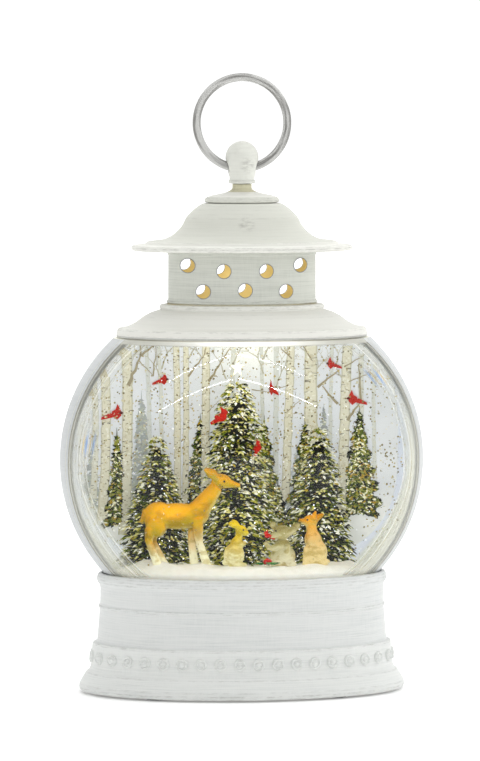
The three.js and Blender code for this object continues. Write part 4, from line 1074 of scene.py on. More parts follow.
def printed_forest():
    rng = random.Random(7)
    batch = Batch()
    for x, height in ((-30, 108), (4, 104), (24, 112), (-8, 118)):  # far grey trees
        printed_spruce(batch, (x, height), 7, 34, 1, 260, rng, haze=0.8)
    printed_spruce(batch, (-41.6, 135), 7.5, 48, 1, 700, rng, haze=0.62)
    printed_spruce(batch, (-62, 112), 6, 30, 1, 300, rng, haze=0.6)
    printed_spruce(batch, (35.6, 129), 5, 36, 1, 420, rng, haze=0.55)
    for foot, top, width, haze in (
        ((-33, 96), (-34, 160), 1.6, 0.62), ((-6, 96), (-2, 164), 2.0, 0.62), ((10, 96), (9, 164), 1.6, 0.66),
        ((38, 100), (39, 162), 1.6, 0.62), ((52, 100), (50.5, 158), 2.2, 0.5),
        ((-61, 92), (-59.5, 146), 2.4, 0.35),
        ((15, 96), (15.6, 164), 2.2, 0.7), ((-38, 96), (-39, 158), 1.8, 0.7), ((57, 96), (56, 146), 1.6, 0.6),
    ):
        birch(batch, foot, top, width, 3, rng, haze)
    pale = fade(rgb(176, 168, 140), 0.3)
    for root_x, root_z, angle in (
        (-33, 140, 1.9), (-33, 146, 1.2), (-6, 142, 1.9), (-3, 148, 1.1), (10, 144, 1.9), (10, 150, 1.2),
        (22, 140, 2.0),
        (-14, 148, 2.2), (-22, 150, 1.0), (30, 146, 1.9), (30, 140, 1.1), (44, 140, 2.1),
        (-47, 146, 1.0), (15, 138, 1.2),
    ):
        twigs(batch, (root_x, root_z), angle, 7, 0.7, 4.5, pale, rng)
    for foot, top, width in (
        ((-57.5, 80), (-55.5, 142), 3.8), ((-48.6, 77), (-46.6, 163), 4.4), ((-26.6, 90), (-26.8, 163), 2.9),
        ((-23.4, 90), (-22.6, 163), 2.5), ((-15.2, 88), (-14.2, 164), 3.6), ((19.2, 90), (22, 164), 3.6),
        ((30.2, 92), (30, 163), 5.8), ((43.4, 82), (45.4, 163), 4.4),
    ):
        birch(batch, foot, top, width, 5, rng)
    twig = rgb(158, 148, 122)
    for a, b, width in (
        ((-47, 139), (-41.5, 151), 1.5), ((-41.5, 151), (-34, 157), 0.9), ((-41.5, 151), (-41, 160), 0.8),
        ((-42, 149), (-36.6, 143), 0.5), ((-22, 143), (-15, 152), 0.9), ((-15, 152), (-14, 158), 0.6),
        ((-36.6, 143), (-35, 156), 0.6), ((4.9, 137.5), (12.1, 136.3), 0.45), ((-13.5, 141), (-8, 149), 1.2),
        ((33, 138), (42, 145), 1.1), ((41.5, 131), (35, 138.5), 1.1), ((45.6, 124), (51, 131.5), 1.3),
        ((51, 131), (50, 147), 1.0), ((12.1, 136.3), (20, 139), 0.5), ((22, 150), (14, 158), 0.6),
        ((30, 150), (24, 160), 0.6), ((44, 146), (52, 150), 0.6), ((46, 140), (55, 143), 0.5),
        ((-14, 128), (-9, 133), 0.4), ((20, 128), (26, 133), 0.4), ((-8, 149), (-3, 156), 0.7),
    ):
        ribbon(batch, between(a, b, 8, 0.5, rng), [width * (1 - 0.08 * i) for i in range(9)], 6.5, twig)
    for x, z, reach, rise, width in (  # painted reflections: trunks mirrored in the curved wall
        (-64.5, 141, 8.6, 11, 2.8), (-67.5, 134, 6.5, 9, 2.0), (-55.5, 151, 7.5, 7.5, 2.6),
    ):
        arch = []
        for i in range(25):
            turn = math.radians(135 * i / 24)
            arch.append((x + reach * math.cos(turn), z + rise * math.sin(turn)))
        ribbon(batch, arch, [width * (1 - 0.4 * i / 24) for i in range(25)], 5.2, rgb(188, 181, 154))
    printed_spruce(batch, (-51.9, 119.5), 5.5, 38, 7, 900, rng, right=-50.3)
    printed_spruce(batch, (-17, 125.5), 9, 36, 4, 900, rng, right=-16.6)
    printed_spruce(batch, (10.2, 124.5), 9.5, 44, 8, 1900, rng)
    printed_spruce(batch, (27.6, 122.6), 10.5, 44, 8, 1900, rng)
    printed_spruce(batch, (50.6, 127.4), 10, 42, 8, 1900, rng, left=45.4)
    printed_spruce(batch, (-31, 108), 10, 30, 8, 1000, rng)
    printed_spruce(batch, (16, 98), 7, 24, 8, 700, rng)
    for x, z, size, facing in (
        (-52.6, 127.2, 5.6, 1), (-32.8, 141.4, 4.4, 1), (39, 147.2, 4.2, -1), (48.4, 132.6, 5.4, -1),
        (13.7, 137.4, 5.6, -0.5),
    ):
        printed_bird(batch, x, z, size, facing, 11)
    # The print glows faintly: painted lamp light.
    made = batch.build("backdrop_print", tinted("print_finish", 0.75, 900, 0.17, Specular_IOR_Level=0.1))
    place(made, "print")


def panel_finish():
    """Misty sky on the panel, whiter towards the printed snow."""
    material, tree, surface = blank("panel_finish", Roughness=0.8)
    haze = grain(tree, (30, 30, 45), detail=4)
    sky = blend_colour(tree, haze, rgb(207, 211, 219), rgb(227, 229, 235))
    rise = sums(tree, "ADD", height_mm(tree), scaled(tree, haze, 10.0, -5.0))
    colour = blend_colour(tree, ramp(tree, rise, 84, 96), rgb(236, 238, 240), sky)
    # A painted pool of lamp light near the top, and a faint painted glow all over.
    lamplight = distance_from(tree, (10, PANEL_FRONT, 164))
    lit = times(tree, ramp(tree, lamplight, 32 * MM, 6 * MM), 0.5)
    colour = blend_colour(tree, lit, colour, rgb(255, 255, 250))
    coloured(tree, surface, colour, 0.25)
    return material


def scene_backdrop():
    low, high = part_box("scene_backdrop")
    sides = 120
    verts = []
    for y in (low.y / MM, high.y / MM):
        for angle in angles(sides):
            across, rise = (
                math.copysign(abs(part) ** (2 / PANEL_SQUARENESS), part)
                for part in (math.cos(angle), math.sin(angle))
            )
            verts.append((PANEL_HALF[0] * across, y, PANEL_MIDDLE_Z + PANEL_HALF[1] * rise))
    faces = [list(range(sides)), list(range(2 * sides - 1, sides - 1, -1))]
    faces += [[i, sides + i, sides + (i + 1) % sides, (i + 1) % sides] for i in range(sides)]
    made = solid("scene_backdrop_fine", verts, faces, panel_finish(), smooth=30)
    place(made, "print", "scene_backdrop")


# ---------------------------------------------------------------- snow, trees and star


DRIFTS = [  # x, y, width and height of the mounds
    (-38, -12, 6, 2.0), (-19, -12, 6, 2.0), (-28, -14, 8, 1.0), (-4, -15, 5, 1.0), (14, -13, 7, 1.0),
    (31, -13, 6, 1.0),
    (-37, 6, 12, 3.0), (-2, 4, 12, 2.6), (33, 6, 12, 3.0), (-44, -4, 6, 2.0), (45, -2, 6, 2.0),
]


def snow_ground():
    """Uneven snow: a level middle that falls away in soft lumps at the rim."""
    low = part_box("snow_ground")[0].z / MM
    half_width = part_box("snow_ground")[1].x / MM + 4.5
    rows, sides = 60, 200
    verts, faces = [(0, 0, SNOW_LEVEL)], []
    for row in range(1, rows + 1):
        share = row / rows
        fall = 4.0 * max(0, (share - 0.8) / 0.2) ** 2
        for angle in angles(sides):
            x, y = half_width * share * math.cos(angle), half_width * DEPTH_RATIO * share * math.sin(angle)
            lump = 0.9 * noise.fractal(Vector((x * 0.13, y * 0.22, 4.0)), 1.0, 2.0, 4)
            mounds = sum(h * math.exp(-((x - u) ** 2 + (y - v) ** 2) / w**2) for u, v, w, h in DRIFTS)
            lump = min(lump, 0.5) + mounds
            verts.append((x, y, SNOW_LEVEL - 0.2 - fall + lump * min(1, 4 * (1.02 - share))))
    for i in range(sides):
        faces.append([0, 1 + i, 1 + (i + 1) % sides])
    faces += tube_faces(rows, sides, start=1)
    rim, foot = 1 + (rows - 1) * sides, len(verts)
    verts += [(verts[rim + i][0], verts[rim + i][1], low) for i in range(sides)]
    faces += [[rim + i, foot + i, foot + (i + 1) % sides, rim + (i + 1) % sides] for i in range(sides)]
    faces.append([foot + i for i in range(sides)][::-1])
    made = solid("snow_ground_fine", verts, faces, snow_finish(), smooth=60)
    place(made, "snow", "snow_ground")


NEEDLES = [
    (rgb(6, 10, 0), 6), (rgb(24, 36, 2), 5), (rgb(66, 84, 6), 4), (rgb(124, 128, 18), 2.5),
    (rgb(196, 170, 44), 1),
]
TIPS = [
    (rgb(100, 116, 14), 2.5), (rgb(176, 172, 56), 2.5), (rgb(232, 226, 146), 2.5), (rgb(255, 255, 240), 3.4),
    (rgb(12, 18, 0), 2.5),
]
SNOWY = [(rgb(255, 254, 244), 3), (rgb(226, 222, 190), 2), (rgb(196, 194, 140), 1)]


def leaf(batch, root, direction, length, width, tint):
    """A small pointed leaf with a ridge along its back."""
    root, along = Vector(root), Vector(direction).normalized() * length
    across = along.cross(Vector((0, 0, 1)))
    across = (across if across.length > 1e-6 else Vector((1, 0, 0))).normalized() * width / 2
    up = across.cross(along).normalized() * width * 0.35
    middle = root + along * 0.45
    verts = [root, middle - across, root + along, middle + across, middle + up]
    batch.add([v.to_tuple() for v in verts], [(0, 1, 4), (1, 2, 4), (2, 3, 4), (3, 0, 4), (0, 3, 2, 1)], tint)


def bough(batch, root, tip, size, snowy, rng):
    """A drooping spray: leaves in pairs along a stem, paler towards the tip."""
    root, tip = Vector(root), Vector(tip)
    stem = tip - root
    side = stem.cross(Vector((0, 0, 1))).normalized()
    stations = 5
    for i in range(stations):
        share = (i + 0.6) / stations
        spot = root + stem * share - Vector((0, 0, 0.25 * stem.length * share**2))
        for turn in (-1, 1):
            aim = stem.normalized() + side * turn * rng.uniform(0.5, 1.1)
            aim += Vector((0, 0, rng.uniform(-0.5, 0.5)))
            palette = TIPS if rng.random() < share * snowy else NEEDLES
            length, width = size * rng.uniform(0.7, 1.2), size * rng.uniform(0.44, 0.72)
            leaf(batch, spot, aim, length, width, pick(palette, rng))
    end = root + stem - Vector((0, 0, 0.25 * stem.length))
    aim = stem.normalized() + Vector((0, 0, rng.uniform(-0.6, 0.2)))
    leaf(batch, end, aim, size, size * 0.5, pick(TIPS, rng))
    if rng.random() < 0.12 * snowy:  # a pad of snow on the spray
        pad = end + Vector((0, 0, 0.8)) - stem.normalized()
        for _ in range(3):
            aim = stem.normalized() + Vector((rng.gauss(0, 0.5), rng.gauss(0, 0.5), 0.1))
            leaf(batch, pad, aim, size * rng.uniform(0.8, 1.1), size * 0.8, pick(SNOWY, rng))


def spruce(name, centre, half_width, half_depth, height, power, seed, snowy):
    """A moulded spruce: tiers of drooping boughs around a dark core."""
    rng = random.Random(seed)
    batch = Batch()
    sides, rows = 20, 16
    core = [
        (0.55 * (1.0 - i / rows) ** power, SNOW_LEVEL - 0.5 + height * 0.96 * i / rows) for i in range(rows)
    ]
    verts = []
    for share, z in core:
        for angle in angles(sides):
            x = centre[0] + half_width * share * math.cos(angle)
            y = centre[1] + half_depth * share * math.sin(angle)
            verts.append((x, y, z))
    faces = tube_faces(rows, sides, flip=True)
    faces += [list(range(sides))[::-1], [(rows - 1) * sides + j for j in range(sides)]]
    batch.add(verts, faces, rgb(14, 18, 4))
    tier_gap = 2.9
    tiers = int(height / tier_gap)
    for tier in range(tiers):
        t = (tier + 0.2) / tiers
        share = (1 - t) ** power
        girth = math.pi * (half_width + half_depth) * share
        count = max(6, round(girth / 2.9))
        twist = rng.uniform(0, math.pi)
        for k in range(count):
            angle = twist + 2 * math.pi * (k + rng.uniform(-0.3, 0.3)) / count
            reach = share * rng.uniform(0.9, 1.12)
            out = Vector((math.cos(angle) * half_width, math.sin(angle) * half_depth, 0))
            foot = Vector((centre[0], centre[1], SNOW_LEVEL + height * t + rng.uniform(-0.8, 0.8)))
            lift = Vector((0, 0, out.length * share * 0.16))
            size = (2.3 + 1.2 * (1 - t)) * rng.uniform(0.85, 1.15)
            white = snowy * (0.7 + 0.5 * t + 8 * max(0, t - 0.72))
            bough(batch, foot + out * reach * 0.4 + lift, foot + out * reach * 0.92, size, white, rng)
    peak = Vector((centre[0], centre[1], SNOW_LEVEL + height - 2.4))
    for _ in range(7):
        leaf(batch, peak, (rng.gauss(0, 0.4), rng.gauss(0, 0.4), 1), 2.4, 0.8, pick(TIPS, rng))
    # The tree glows faintly: painted lamp light.
    made = batch.build(f"{name}_fine", tinted(f"{name}_finish", 0.5, 1200, 0.14, Specular_IOR_Level=0.08))
    place(made, "spruce", name)


def tree_star():
    """A faceted five-point star on the top of the middle tree."""
    low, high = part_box("tree_star")
    middle = (low + high) / 2 / MM
    radius, thickness = 3.9, 1.1
    rim = []
    for i in range(10):
        angle = math.pi / 2 + math.pi * i / 5
        reach = radius if i % 2 == 0 else radius * 0.36
        rim.append((middle.x + reach * math.cos(angle) * 0.8, middle.y, middle.z + reach * math.sin(angle)))
    verts = rim + [(middle.x, middle.y - thickness, middle.z), (middle.x, middle.y + thickness, middle.z)]
    # The star's glow is painted light; it holds no lamp.
    finish = glow_finish("star_finish", rgb(255, 246, 206), 1.6)
    made = solid("tree_star_fine", verts, two_fans(10), finish, smooth=5)
    place(made, "star", "tree_star")


# ---------------------------------------------------------------- animals and birds


def tilted(axis, degrees):
    return Matrix.Rotation(math.radians(degrees), 4, axis)


def deer():
    y = -12.0
    shapes = [
        ball((-30.4, y, 85.9), (12.8, 4.8, 5.9)),
        ball((-38.6, y, 85.8), (7.1, 5.2, 6.6)),
        ball((-21.6, y, 87.0), (5.6, 4.6, 5.6)),
        limb((-20.6, y, 88.6), (-12.8, y, 98.8), 4.9, 3.1),
        ball((-18.9, y, 88.6), (3.4, 3.4, 5.4), tilted("Y", 34)),
        ball((-10.6, y, 101.4), (4.6, 2.7, 3.3), tilted("Y", 12)),
        limb((-10.0, y, 100.8), (-3.0, y, 99.4), 2.6, 1.0),
        ball((-2.9, y, 99.4), (1.1, 1.0, 1.0)),
        limb((-44.2, y, 88.6), (-46.4, y, 82.4), 1.6, 0.8),
    ]
    for side in (-1, 1):
        lean = 1.2 * (side + 1)
        across = y + side * 2.4
        ear = [
            (x + lean * 0.5, y + side * out, z)
            for x, out, z in ((-12.8, 1.9, 102.4), (-15.6, 2.9, 104.8), (-18.7, 3.3, 106.9))
        ]
        shapes += [
            limb(ear[0], ear[1], 1.2, 2.0),
            limb(ear[1], ear[2], 2.0, 0.5),
            limb((-21.6 - lean * 0.4, across, 85), (-20.8 - lean * 1.2, across, 74), 2.8, 1.7),
            limb((-20.8 - lean * 1.2, across, 74.4), (-17.0 - lean * 2.2, across, 63.2), 1.7, 2.1),
            ball((-40.2 + lean * 0.4, across, 82.6), (4.8, 2.9, 6.2), tilted("Y", -14)),
            limb((-42.8 + lean, across, 80), (-43.6 + lean, across, 74.2), 2.5, 1.7),
            limb((-43.6 + lean, across, 74.8), (-39.4 + lean * 1.6, across, 63.2), 1.6, 2.1),
        ]
    finish = resin("deer_finish", rgb(228, 164, 0), rgb(166, 142, 0), rgb(226, 222, 190), 89.5, lean=0.3)
    place(sculpt("deer_fine", shapes, finish, voxel=0.4), "fawn", "deer")


def rabbit():
    x, y, z = -4.4, -15.0, SNOW_LEVEL
    shapes = [
        ball((x - 0.9, y, z + 5.6), (4.7, 3.8, 5.7)),
        ball((x + 0.4, y, z + 10.6), (3.0, 2.6, 3.6)),
        ball((x + 2.2, y, z + 16.9), (2.6, 2.3, 2.5)),
        limb((x + 0.2, y, z + 10), (x + 1.6, y, z + 15.6), 2.1, 1.6),
        ball((x + 4.1, y, z + 15.9), (1.8, 1.7, 1.6), tilted("Y", 12)),
        limb((x + 2.4, y - 1.6, z + 10.6), (x + 4.4, y - 1.4, z + 11.4), 1.1, 0.9),
        ball((x + 2.4, y - 2.0, z + 1.2), (2.6, 1.3, 1.2)),
        ball((x - 4.6, y, z + 2.4), (1.6, 1.5, 1.5)),
    ]
    for side, lean, reach in ((-1, 22, 3.1), (1, 44, 2.6)):
        root = Vector((x + 1.4, y + side * 1.2, z + 18.4))
        away = Vector((-math.cos(math.radians(lean)), side * 0.2, math.sin(math.radians(lean))))
        shapes.append(ball(tuple(root + away * reach * 0.8), (reach, 0.75, 1.45), tilted("Y", lean)))
    finish = resin("rabbit_finish", rgb(212, 182, 10), rgb(200, 182, 50), rgb(216, 210, 166), 79)
    place(sculpt("rabbit_fine", shapes, finish), "straw", "rabbit")


def raccoon():
    """Sits up with a broad head and holds one paw out for the bird."""
    x, y, z = 17.0, -12.0, SNOW_LEVEL
    shapes = [
        ball((x - 0.2, y, z + 4.8), (5.8, 4.4, 5.4)),
        ball((x - 0.6, y, z + 9.2), (3.9, 3.4, 3.8)),
        ball((x - 0.6, y - 0.6, z + 15.8), (4.1, 3.4, 3.3), tilted("Y", 6)),
        ball((x + 2.8, y - 0.6, z + 16.0), (3.4, 2.6, 1.8), tilted("Y", -22)),
        limb((x - 3.6, y - 2.2, z + 14.8), (x - 6.2, y - 3.2, z + 13.8), 2.0, 1.0),
        ball((x - 4.6, y + 0.4, z + 19.0), (1.6, 0.9, 1.9), tilted("Y", -18)),
        ball((x + 5.4, y + 0.2, z + 18.2), (2.7, 0.9, 1.5), tilted("Y", -36)),
        limb((x - 2.2, y - 2.4, z + 9.8), (x - 6.0, y - 3.4, z + 8.4), 1.6, 1.3),
        limb((x - 6.0, y - 3.4, z + 8.4), (x - 8.6, y - 3.4, z + 11.6), 1.3, 1.0),
        limb((x + 1.8, y - 3.0, z + 10.0), (x + 1.2, y - 4.8, z + 6.2), 1.5, 1.1),
        ball((x - 3.6, y - 3.0, z + 1.4), (2.6, 2.4, 1.6)),
        ball((x + 3.4, y - 3.0, z + 1.4), (2.6, 2.4, 1.6)),
    ]
    finish = resin(
        "raccoon_finish", rgb(164, 158, 110), rgb(198, 192, 150), rgb(208, 202, 174), 74, facing_way=-1
    )
    place(sculpt("raccoon_fine", shapes, finish), "grey_fur", "raccoon")


def fox():
    x, y, z = 30.8, -13.0, SNOW_LEVEL
    shapes = [
        ball((x + 0.8, y, z + 6.0), (5.4, 4.2, 6.4)),
        ball((x - 0.4, y, z + 11.6), (4.0, 3.4, 5.4), tilted("Y", -14)),
        limb((x - 0.6, y, z + 12), (x - 1.4, y, z + 18.6), 3.0, 2.3),
        ball((x - 1.8, y, z + 20.6), (3.4, 2.8, 2.9)),
        limb((x - 3.2, y, z + 20.4), (x - 6.6, y, z + 21), 1.8, 0.8),
        ball((x - 6.8, y, z + 21), (0.9, 0.8, 0.8)),
        limb((x - 3.2, y - 1.8, z + 9), (x - 4.0, y - 2.0, z + 0.6), 1.6, 1.3),
        limb((x - 3.0, y + 1.8, z + 9), (x - 3.6, y + 2.0, z + 0.6), 1.6, 1.3),
        ball((x + 4.2, y - 2.4, z + 1.8), (3.4, 1.8, 1.8)),
    ]
    shapes.append(limb((x - 0.8, y - 1.5, z + 21.6), (x + 0.6, y - 1.8, z + 25.2), 1.8, 0.5))
    shapes.append(limb((x + 0.2, y + 1.5, z + 21.4), (x + 4.2, y + 1.9, z + 23.6), 2.0, 0.6))
    finish = resin(
        "fox_finish", rgb(222, 152, 8), rgb(194, 152, 48), rgb(212, 192, 136), 86,
        fade_height=20, facing_way=-1,
    )
    place(sculpt("fox_fine", shapes, finish), "fox_fur", "fox")


def beads_of_jet():
    """Eyes and noses of the animals."""
    spots = [
        ((-9.6, -14.4, 101.4), 0.55), ((-2.0, -12.4, 99.5), 0.55), ((-1.2, -17.2, 79.8), 0.4),
        ((1.3, -15.6, 79.2), 0.4),
        ((27.6, -15.4, 83.9), 0.45), ((23.6, -13.2, 84.0), 0.55), ((13.4, -16.0, 79.2), 0.45),
        ((10.2, -15.6, 76.4), 0.5),
    ]
    shapes = [ball(centre, (radius,) * 3, sides=12, rings=8) for centre, radius in spots]
    verts, faces = joined(shapes)
    made = solid("eyes_and_noses", verts, faces, moulded("jet_finish", rgb(24, 16, 10), 0.5), smooth=60)
    place(made, "fawn")


def bird_shapes(centre, size, turn=0.0, upright=0.0):
    """Body, head, crest, tail and wings of a small bird facing +X, tipped up about Y and turned about Z."""
    move = Matrix.Translation(centre) @ tilted("Z", turn) @ tilted("Y", -upright) @ Matrix.Scale(size, 4)
    parts = [
        ball((0, 0, 2.2), (2.5, 1.6, 1.9), sides=20, rings=12),
        ball((1.7, 0, 4.0), (1.5, 1.25, 1.4), sides=20, rings=12),
        limb((1.4, 0, 4.4), (0.5, 0, 6.9), 1.0, 0.15),
        limb((-1.0, 0, 1.8), (-5.4, 0, 0.6), 1.2, 0.6),
        ball((-0.6, -1.2, 2.3), (2.4, 0.7, 1.2), tilted("Y", 12), sides=16, rings=10),
        ball((-0.6, 1.2, 2.3), (2.4, 0.7, 1.2), tilted("Y", 12), sides=16, rings=10),
    ]
    return [([tuple(move @ Vector(v)) for v in verts], faces) for verts, faces in parts]


def cardinals():
    material, tree, surface = blank("cardinal_finish", Roughness=0.4, Specular_IOR_Level=0.12)
    wings = grain(tree, (500, 500, 900), detail=4)
    plug(tree, surface.inputs["Base Color"], blend_colour(tree, wings, rgb(158, 4, 0), rgb(224, 34, 4)))
    birds = (
        ("cardinal_left_perch", (-9.4, -2.6, 126.4), 1.0, 10, 12),
        ("cardinal_right_perch", (6.4, -3.4, 113.4), 0.85, -70, 30),
        ("cardinal_on_paw", (9.6, -15.2, 75.6), 0.62, 180, 10),
    )
    for name, centre, size, turn, upright in birds:
        shapes = bird_shapes(centre, size, turn, upright)
        place(sculpt(f"{name}_fine", shapes, material, voxel=0.22, passes=3), "bird_red", name)


def holly_sprig():
    """Scalloped leaves with a folded middle and a cluster of berries."""
    low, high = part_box("holly_sprig")
    centre = (low + high) / 2 / MM
    batch = Batch()
    for turn, reach in ((0.1, 5.4), (2.0, 4.2), (3.3, 5.6), (4.9, 4.2), (5.6, 4.6)):
        rim = []
        for i in range(16):
            t = 2 * math.pi * i / 16
            swell = 1 + 0.16 * (i % 2)
            x = reach * 0.55 + reach * 0.5 * math.cos(t) * swell
            rim.append(Vector((x, 1.5 * math.sin(t) * swell, 1.4 + 0.5 * abs(math.sin(t)))))
        spin = tilted("Z", math.degrees(turn))
        base = Vector((centre.x, centre.y, low.z / MM))
        verts = [tuple(base + spin @ v) for v in rim]
        verts += [tuple(base + spin @ Vector((reach * 0.55, 0, z))) for z in (1.9, 0.6)]
        batch.add(verts, two_fans(16), rgb(40, 112, 52) if reach > 5 else rgb(70, 138, 66))
    for x, y, z in ((0.8, -0.8, 2.2), (-1.0, -0.9, 2.1), (-0.1, 0.8, 2.6)):
        berry = ball((centre.x + x, centre.y + y, low.z / MM + z), (1.15,) * 3, sides=16, rings=10)
        batch.add(*berry, rgb(208, 40, 36))
    made = batch.build("holly_sprig_fine", tinted("holly_finish", 0.3, 600, Specular_IOR_Level=0.25))
    place(made, "holly", "holly_sprig")


# ---------------------------------------------------------------- glitter


def flake(batch, spot, radius, tint, rng):
    """One thin six-sided flake at a random tilt."""
    axis = Vector((rng.gauss(0, 1), rng.gauss(0, 1), rng.gauss(0, 1))).normalized()
    turn = Matrix.Rotation(rng.uniform(0, math.pi), 4, axis)
    ring = [
        Vector((radius * math.cos(k * math.pi / 3), radius * math.sin(k * math.pi / 3), 0)) for k in range(6)
    ]
    verts = [tuple(spot + turn @ (v + Vector((0, 0, side * 0.04)))) for side in (-1, 1) for v in ring]
    caps = [(5, 4, 3, 2, 1, 0), (6, 7, 8, 9, 10, 11)]
    faces = caps + [(k, (k + 1) % 6, 6 + (k + 1) % 6, 6 + k) for k in range(6)]
    batch.add(verts, faces, tint)


def lit_sparkles():
    """Flakes with painted glints, glowing as if they catch the lamps, thickest among the trees and over the
    snow.
    """
    rng = random.Random(33)
    batch = Batch()
    whites = (rgb(255, 252, 236), rgb(236, 242, 255))
    for _ in range(420):
        x = rng.gauss(0, 30)
        y = rng.uniform(-9, 4)
        z = SNOW_LEVEL + 1 + rng.expovariate(0.04)
        if abs(x) < 62 and z < 150 and (x / 70) ** 2 + ((z - 109) / 66) ** 2 + (y / 36) ** 2 < 1:
            flake(batch, Vector((x, y, z)), rng.uniform(0.18, 0.34), rng.choice(whites), rng)
    place(batch.build("lit_sparkles", tinted("sparkle_finish", 0.3, 3000, 1.6)), "water")


def glitter():
    """Gold flakes hanging in the water, and more that have settled near the snow."""
    rng = random.Random(21)
    batch = Batch()
    room = GLOBE_HALF - Vector((WALL + 1.5,) * 3)
    golds = [rgb(150, 132, 78), rgb(190, 172, 112), rgb(128, 116, 76), rgb(226, 218, 184)]
    placed = 0
    while placed < 2900:
        x, y = rng.uniform(-room.x, room.x), rng.uniform(-room.y, PANEL_FRONT - 1.5)
        z = rng.uniform(SNOW_LEVEL + 0.5, GLOBE_TOP - WALL - 1)
        if z < 100 and abs(x) < 55 and rng.random() < 0.7:
            continue
        spot = Vector((x / room.x, y / room.y, (z - GLOBE_MIDDLE.z) / room.z))
        if spot.length > 1 or z > GLOBE_TOP - WALL - 1:
            continue
        placed += 1
        flake(batch, Vector((x, y, z)), rng.uniform(0.3, 0.56), rng.choice(golds), rng)
    made = batch.build("glitter_flakes", tinted("glitter_finish", 0.3, 3000, Metallic=0.5))
    place(made, "water")


# ---------------------------------------------------------------- hidden and plain pieces

PLAIN = {
    "steel": moulded("steel_finish", rgb(190, 192, 196), 0.35, 1.0),
    "magnet": moulded("magnet_finish", rgb(140, 142, 146), 0.35, 1.0),
    "white_plastic": moulded("white_plastic_finish", rgb(232, 230, 222)),
    "black_plastic": moulded("black_plastic_finish", rgb(38, 39, 41)),
    "rubber": moulded("rubber_finish", rgb(130, 131, 133), 0.8),
    "board": moulded("board_finish", rgb(40, 110, 62), 0.4),
    "cell": moulded("cell_finish", rgb(62, 92, 134), 0.35),
    "lamp": glow_finish("lamp_finish", rgb(255, 236, 190), 2.0),
    "clear_shell": moulded("plug_finish", rgb(235, 236, 232), 0.4),
}


def plain_pieces():
    """Gives each CAD piece that stays a finish with some life in it."""
    slots = {row["node"]: row["material_slot"] for row in frame["record"]["subparts"]}
    for name, made in frame["nodes"].items():
        if slots[name] in PLAIN and not made.hide_render:
            made.data.materials.clear()
            made.data.materials.append(PLAIN[slots[name]])


# ---------------------------------------------------------------- stage, lights and camera


def lamp(name, kind, spot, aim, power, size, colour=(1, 1, 1), glossy=True):
    """A light that the camera can't see, and that shows in reflections only if it is glossy."""
    data = bpy.data.lights.new(name, kind)
    data.energy = power
    data.color = colour
    if kind == "AREA":
        data.shape = "RECTANGLE"
        data.size, data.size_y = size
    else:
        data.shadow_soft_size = size
    made = bpy.data.objects.new(name, data)
    bpy.context.scene.collection.objects.link(made)
    made.location = spot
    made.rotation_euler = (Vector(aim) - Vector(spot)).to_track_quat("-Z", "Y").to_euler()
    made.visible_camera = False
    made.visible_transmission = False
    made.visible_glossy = glossy
    return made


def floor_material():
    """White, a little brighter away from the object so that no horizon shows."""
    material, tree, surface = blank("floor_finish", Roughness=0.9)
    colour = blend_colour(tree, grain(tree, (3, 3, 3)), (0.88, 0.88, 0.88, 1), (0.91, 0.91, 0.91, 1))
    coloured(tree, surface, colour)
    away = node(tree, "ShaderNodeVectorMath", {"operation": "LENGTH"})
    plug(tree, away.inputs[0], object_place(tree))
    surface.inputs["Emission Color"].default_value = (1, 1, 1, 1)
    glow = scaled(tree, ramp(tree, away.outputs["Value"], 0.1, 0.8), 0.42, 0.16)
    plug(tree, surface.inputs["Emission Strength"], glow)
    return material


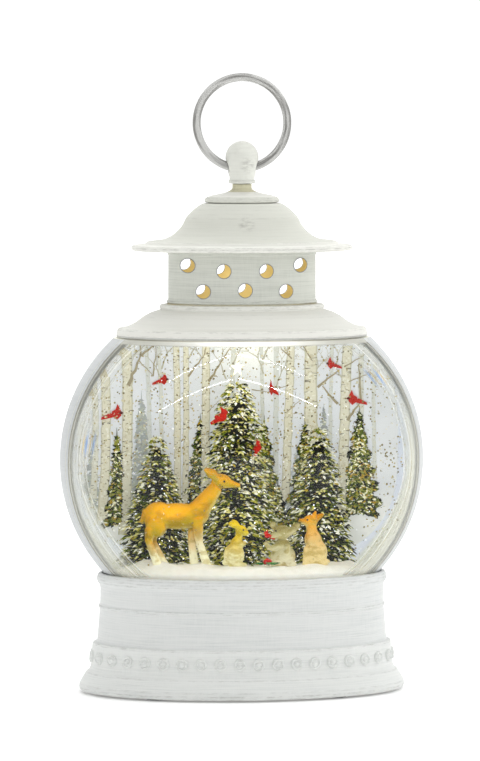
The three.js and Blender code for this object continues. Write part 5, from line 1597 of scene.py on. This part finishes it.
def stage():
    """White floor and surroundings, darker on the camera's side, and warm light inside the lantern."""
    reach = 6000
    corners = [(-reach, -reach, 0), (reach, -reach, 0), (reach, reach, 0), (-reach, reach, 0)]
    solid("floor", corners, [(0, 1, 2, 3)], floor_material(), smooth=None)
    world = bpy.data.worlds.new("studio")
    world.use_nodes = True
    tree = world.node_tree
    seen = node(tree, "ShaderNodeLightPath").outputs["Is Camera Ray"]
    generated = node(tree, "ShaderNodeTexCoord").outputs["Generated"]
    direction = node(tree, "ShaderNodeSeparateXYZ", Vector=generated)
    soft = scaled(tree, ramp(tree, direction.outputs["Y"], -1.0, 0.1), 0.66, 0.26)
    plug(tree, tree.nodes["Background"].inputs["Strength"], sums(tree, "MAXIMUM", seen, soft))
    tree.nodes["Background"].inputs["Color"].default_value = (1.1, 1.1, 1.1, 1)
    bpy.context.scene.world = world
    bpy.context.scene.view_settings.view_transform = "Standard"
    middle = (0, 0, 0.14)
    lamp("key", "AREA", (1.4, -0.3, 0.7), middle, 5, (0.7, 0.9), glossy=False)
    lamp("overhead", "AREA", (0, 0.1, 1.5), middle, 8, (0.9, 0.9), glossy=False)
    warm = (1.0, 0.92, 0.76)
    lamp("gallery_glow", "POINT", (0, 0, 0.195), middle, 0.008, 0.008, warm, glossy=False)
    for x in (-0.034, 0.0, 0.034):
        lamp("snow_glow", "POINT", (x, -0.028, 0.09), middle, 0.0045, 0.006, warm, glossy=False)
    lamp("star_glow", "POINT", (-0.002, -0.01, 0.154), middle, 0.009, 0.005, warm, glossy=False)
    for side in (-1, 1):
        for height in (0.85, 1.4):
            x = 0.5 * side
            strip = lamp("strip", "AREA", (x, -1.5, height), (x, 0, 0.14), 1.5, (1.0, 0.009))
            strip.rotation_euler.rotate_axis("Z", -side * math.radians(18))


def camera():
    """Stands a little to the left and above, two metres away, looking slightly down."""
    distance, azimuth, height, pitch = 1.987, math.radians(-5), 0.319, math.radians(4.97)
    data = bpy.data.cameras.new("camera")
    data.sensor_width = 36
    data.lens = 201.5
    data.shift_x = -0.0026
    data.clip_start, data.clip_end = 0.1, 50
    made = bpy.data.objects.new("camera", data)
    bpy.context.scene.collection.objects.link(made)
    made.location = (distance * math.sin(azimuth), -distance * math.cos(azimuth), height)
    made.rotation_euler = (math.pi / 2 - pitch, 0, azimuth)
    bpy.context.scene.camera = made


camera()
stage()
base_shell()
bead_band()
shoulder_skirt()
vent_gallery()
vent_rims()
roof()
roof_cap()
finial_knob()
carry_ring()
globe()
scene_backdrop()
printed_forest()
snow_ground()
spruce("tree_centre", (-2.4, 5.5), 17.8, 10.0, 80.5, 0.4, 3, 1.0)
spruce("tree_left", (-36.6, 9.0), 16.5, 8.6, 57, 0.7, 4, 0.7)
spruce("tree_right", (33.2, 8.5), 15.2, 8.6, 60.5, 0.6, 5, 0.7)
tree_star()
deer()
rabbit()
raccoon()
fox()
beads_of_jet()
cardinals()
holly_sprig()
glitter()
lit_sparkles()
plain_pieces()
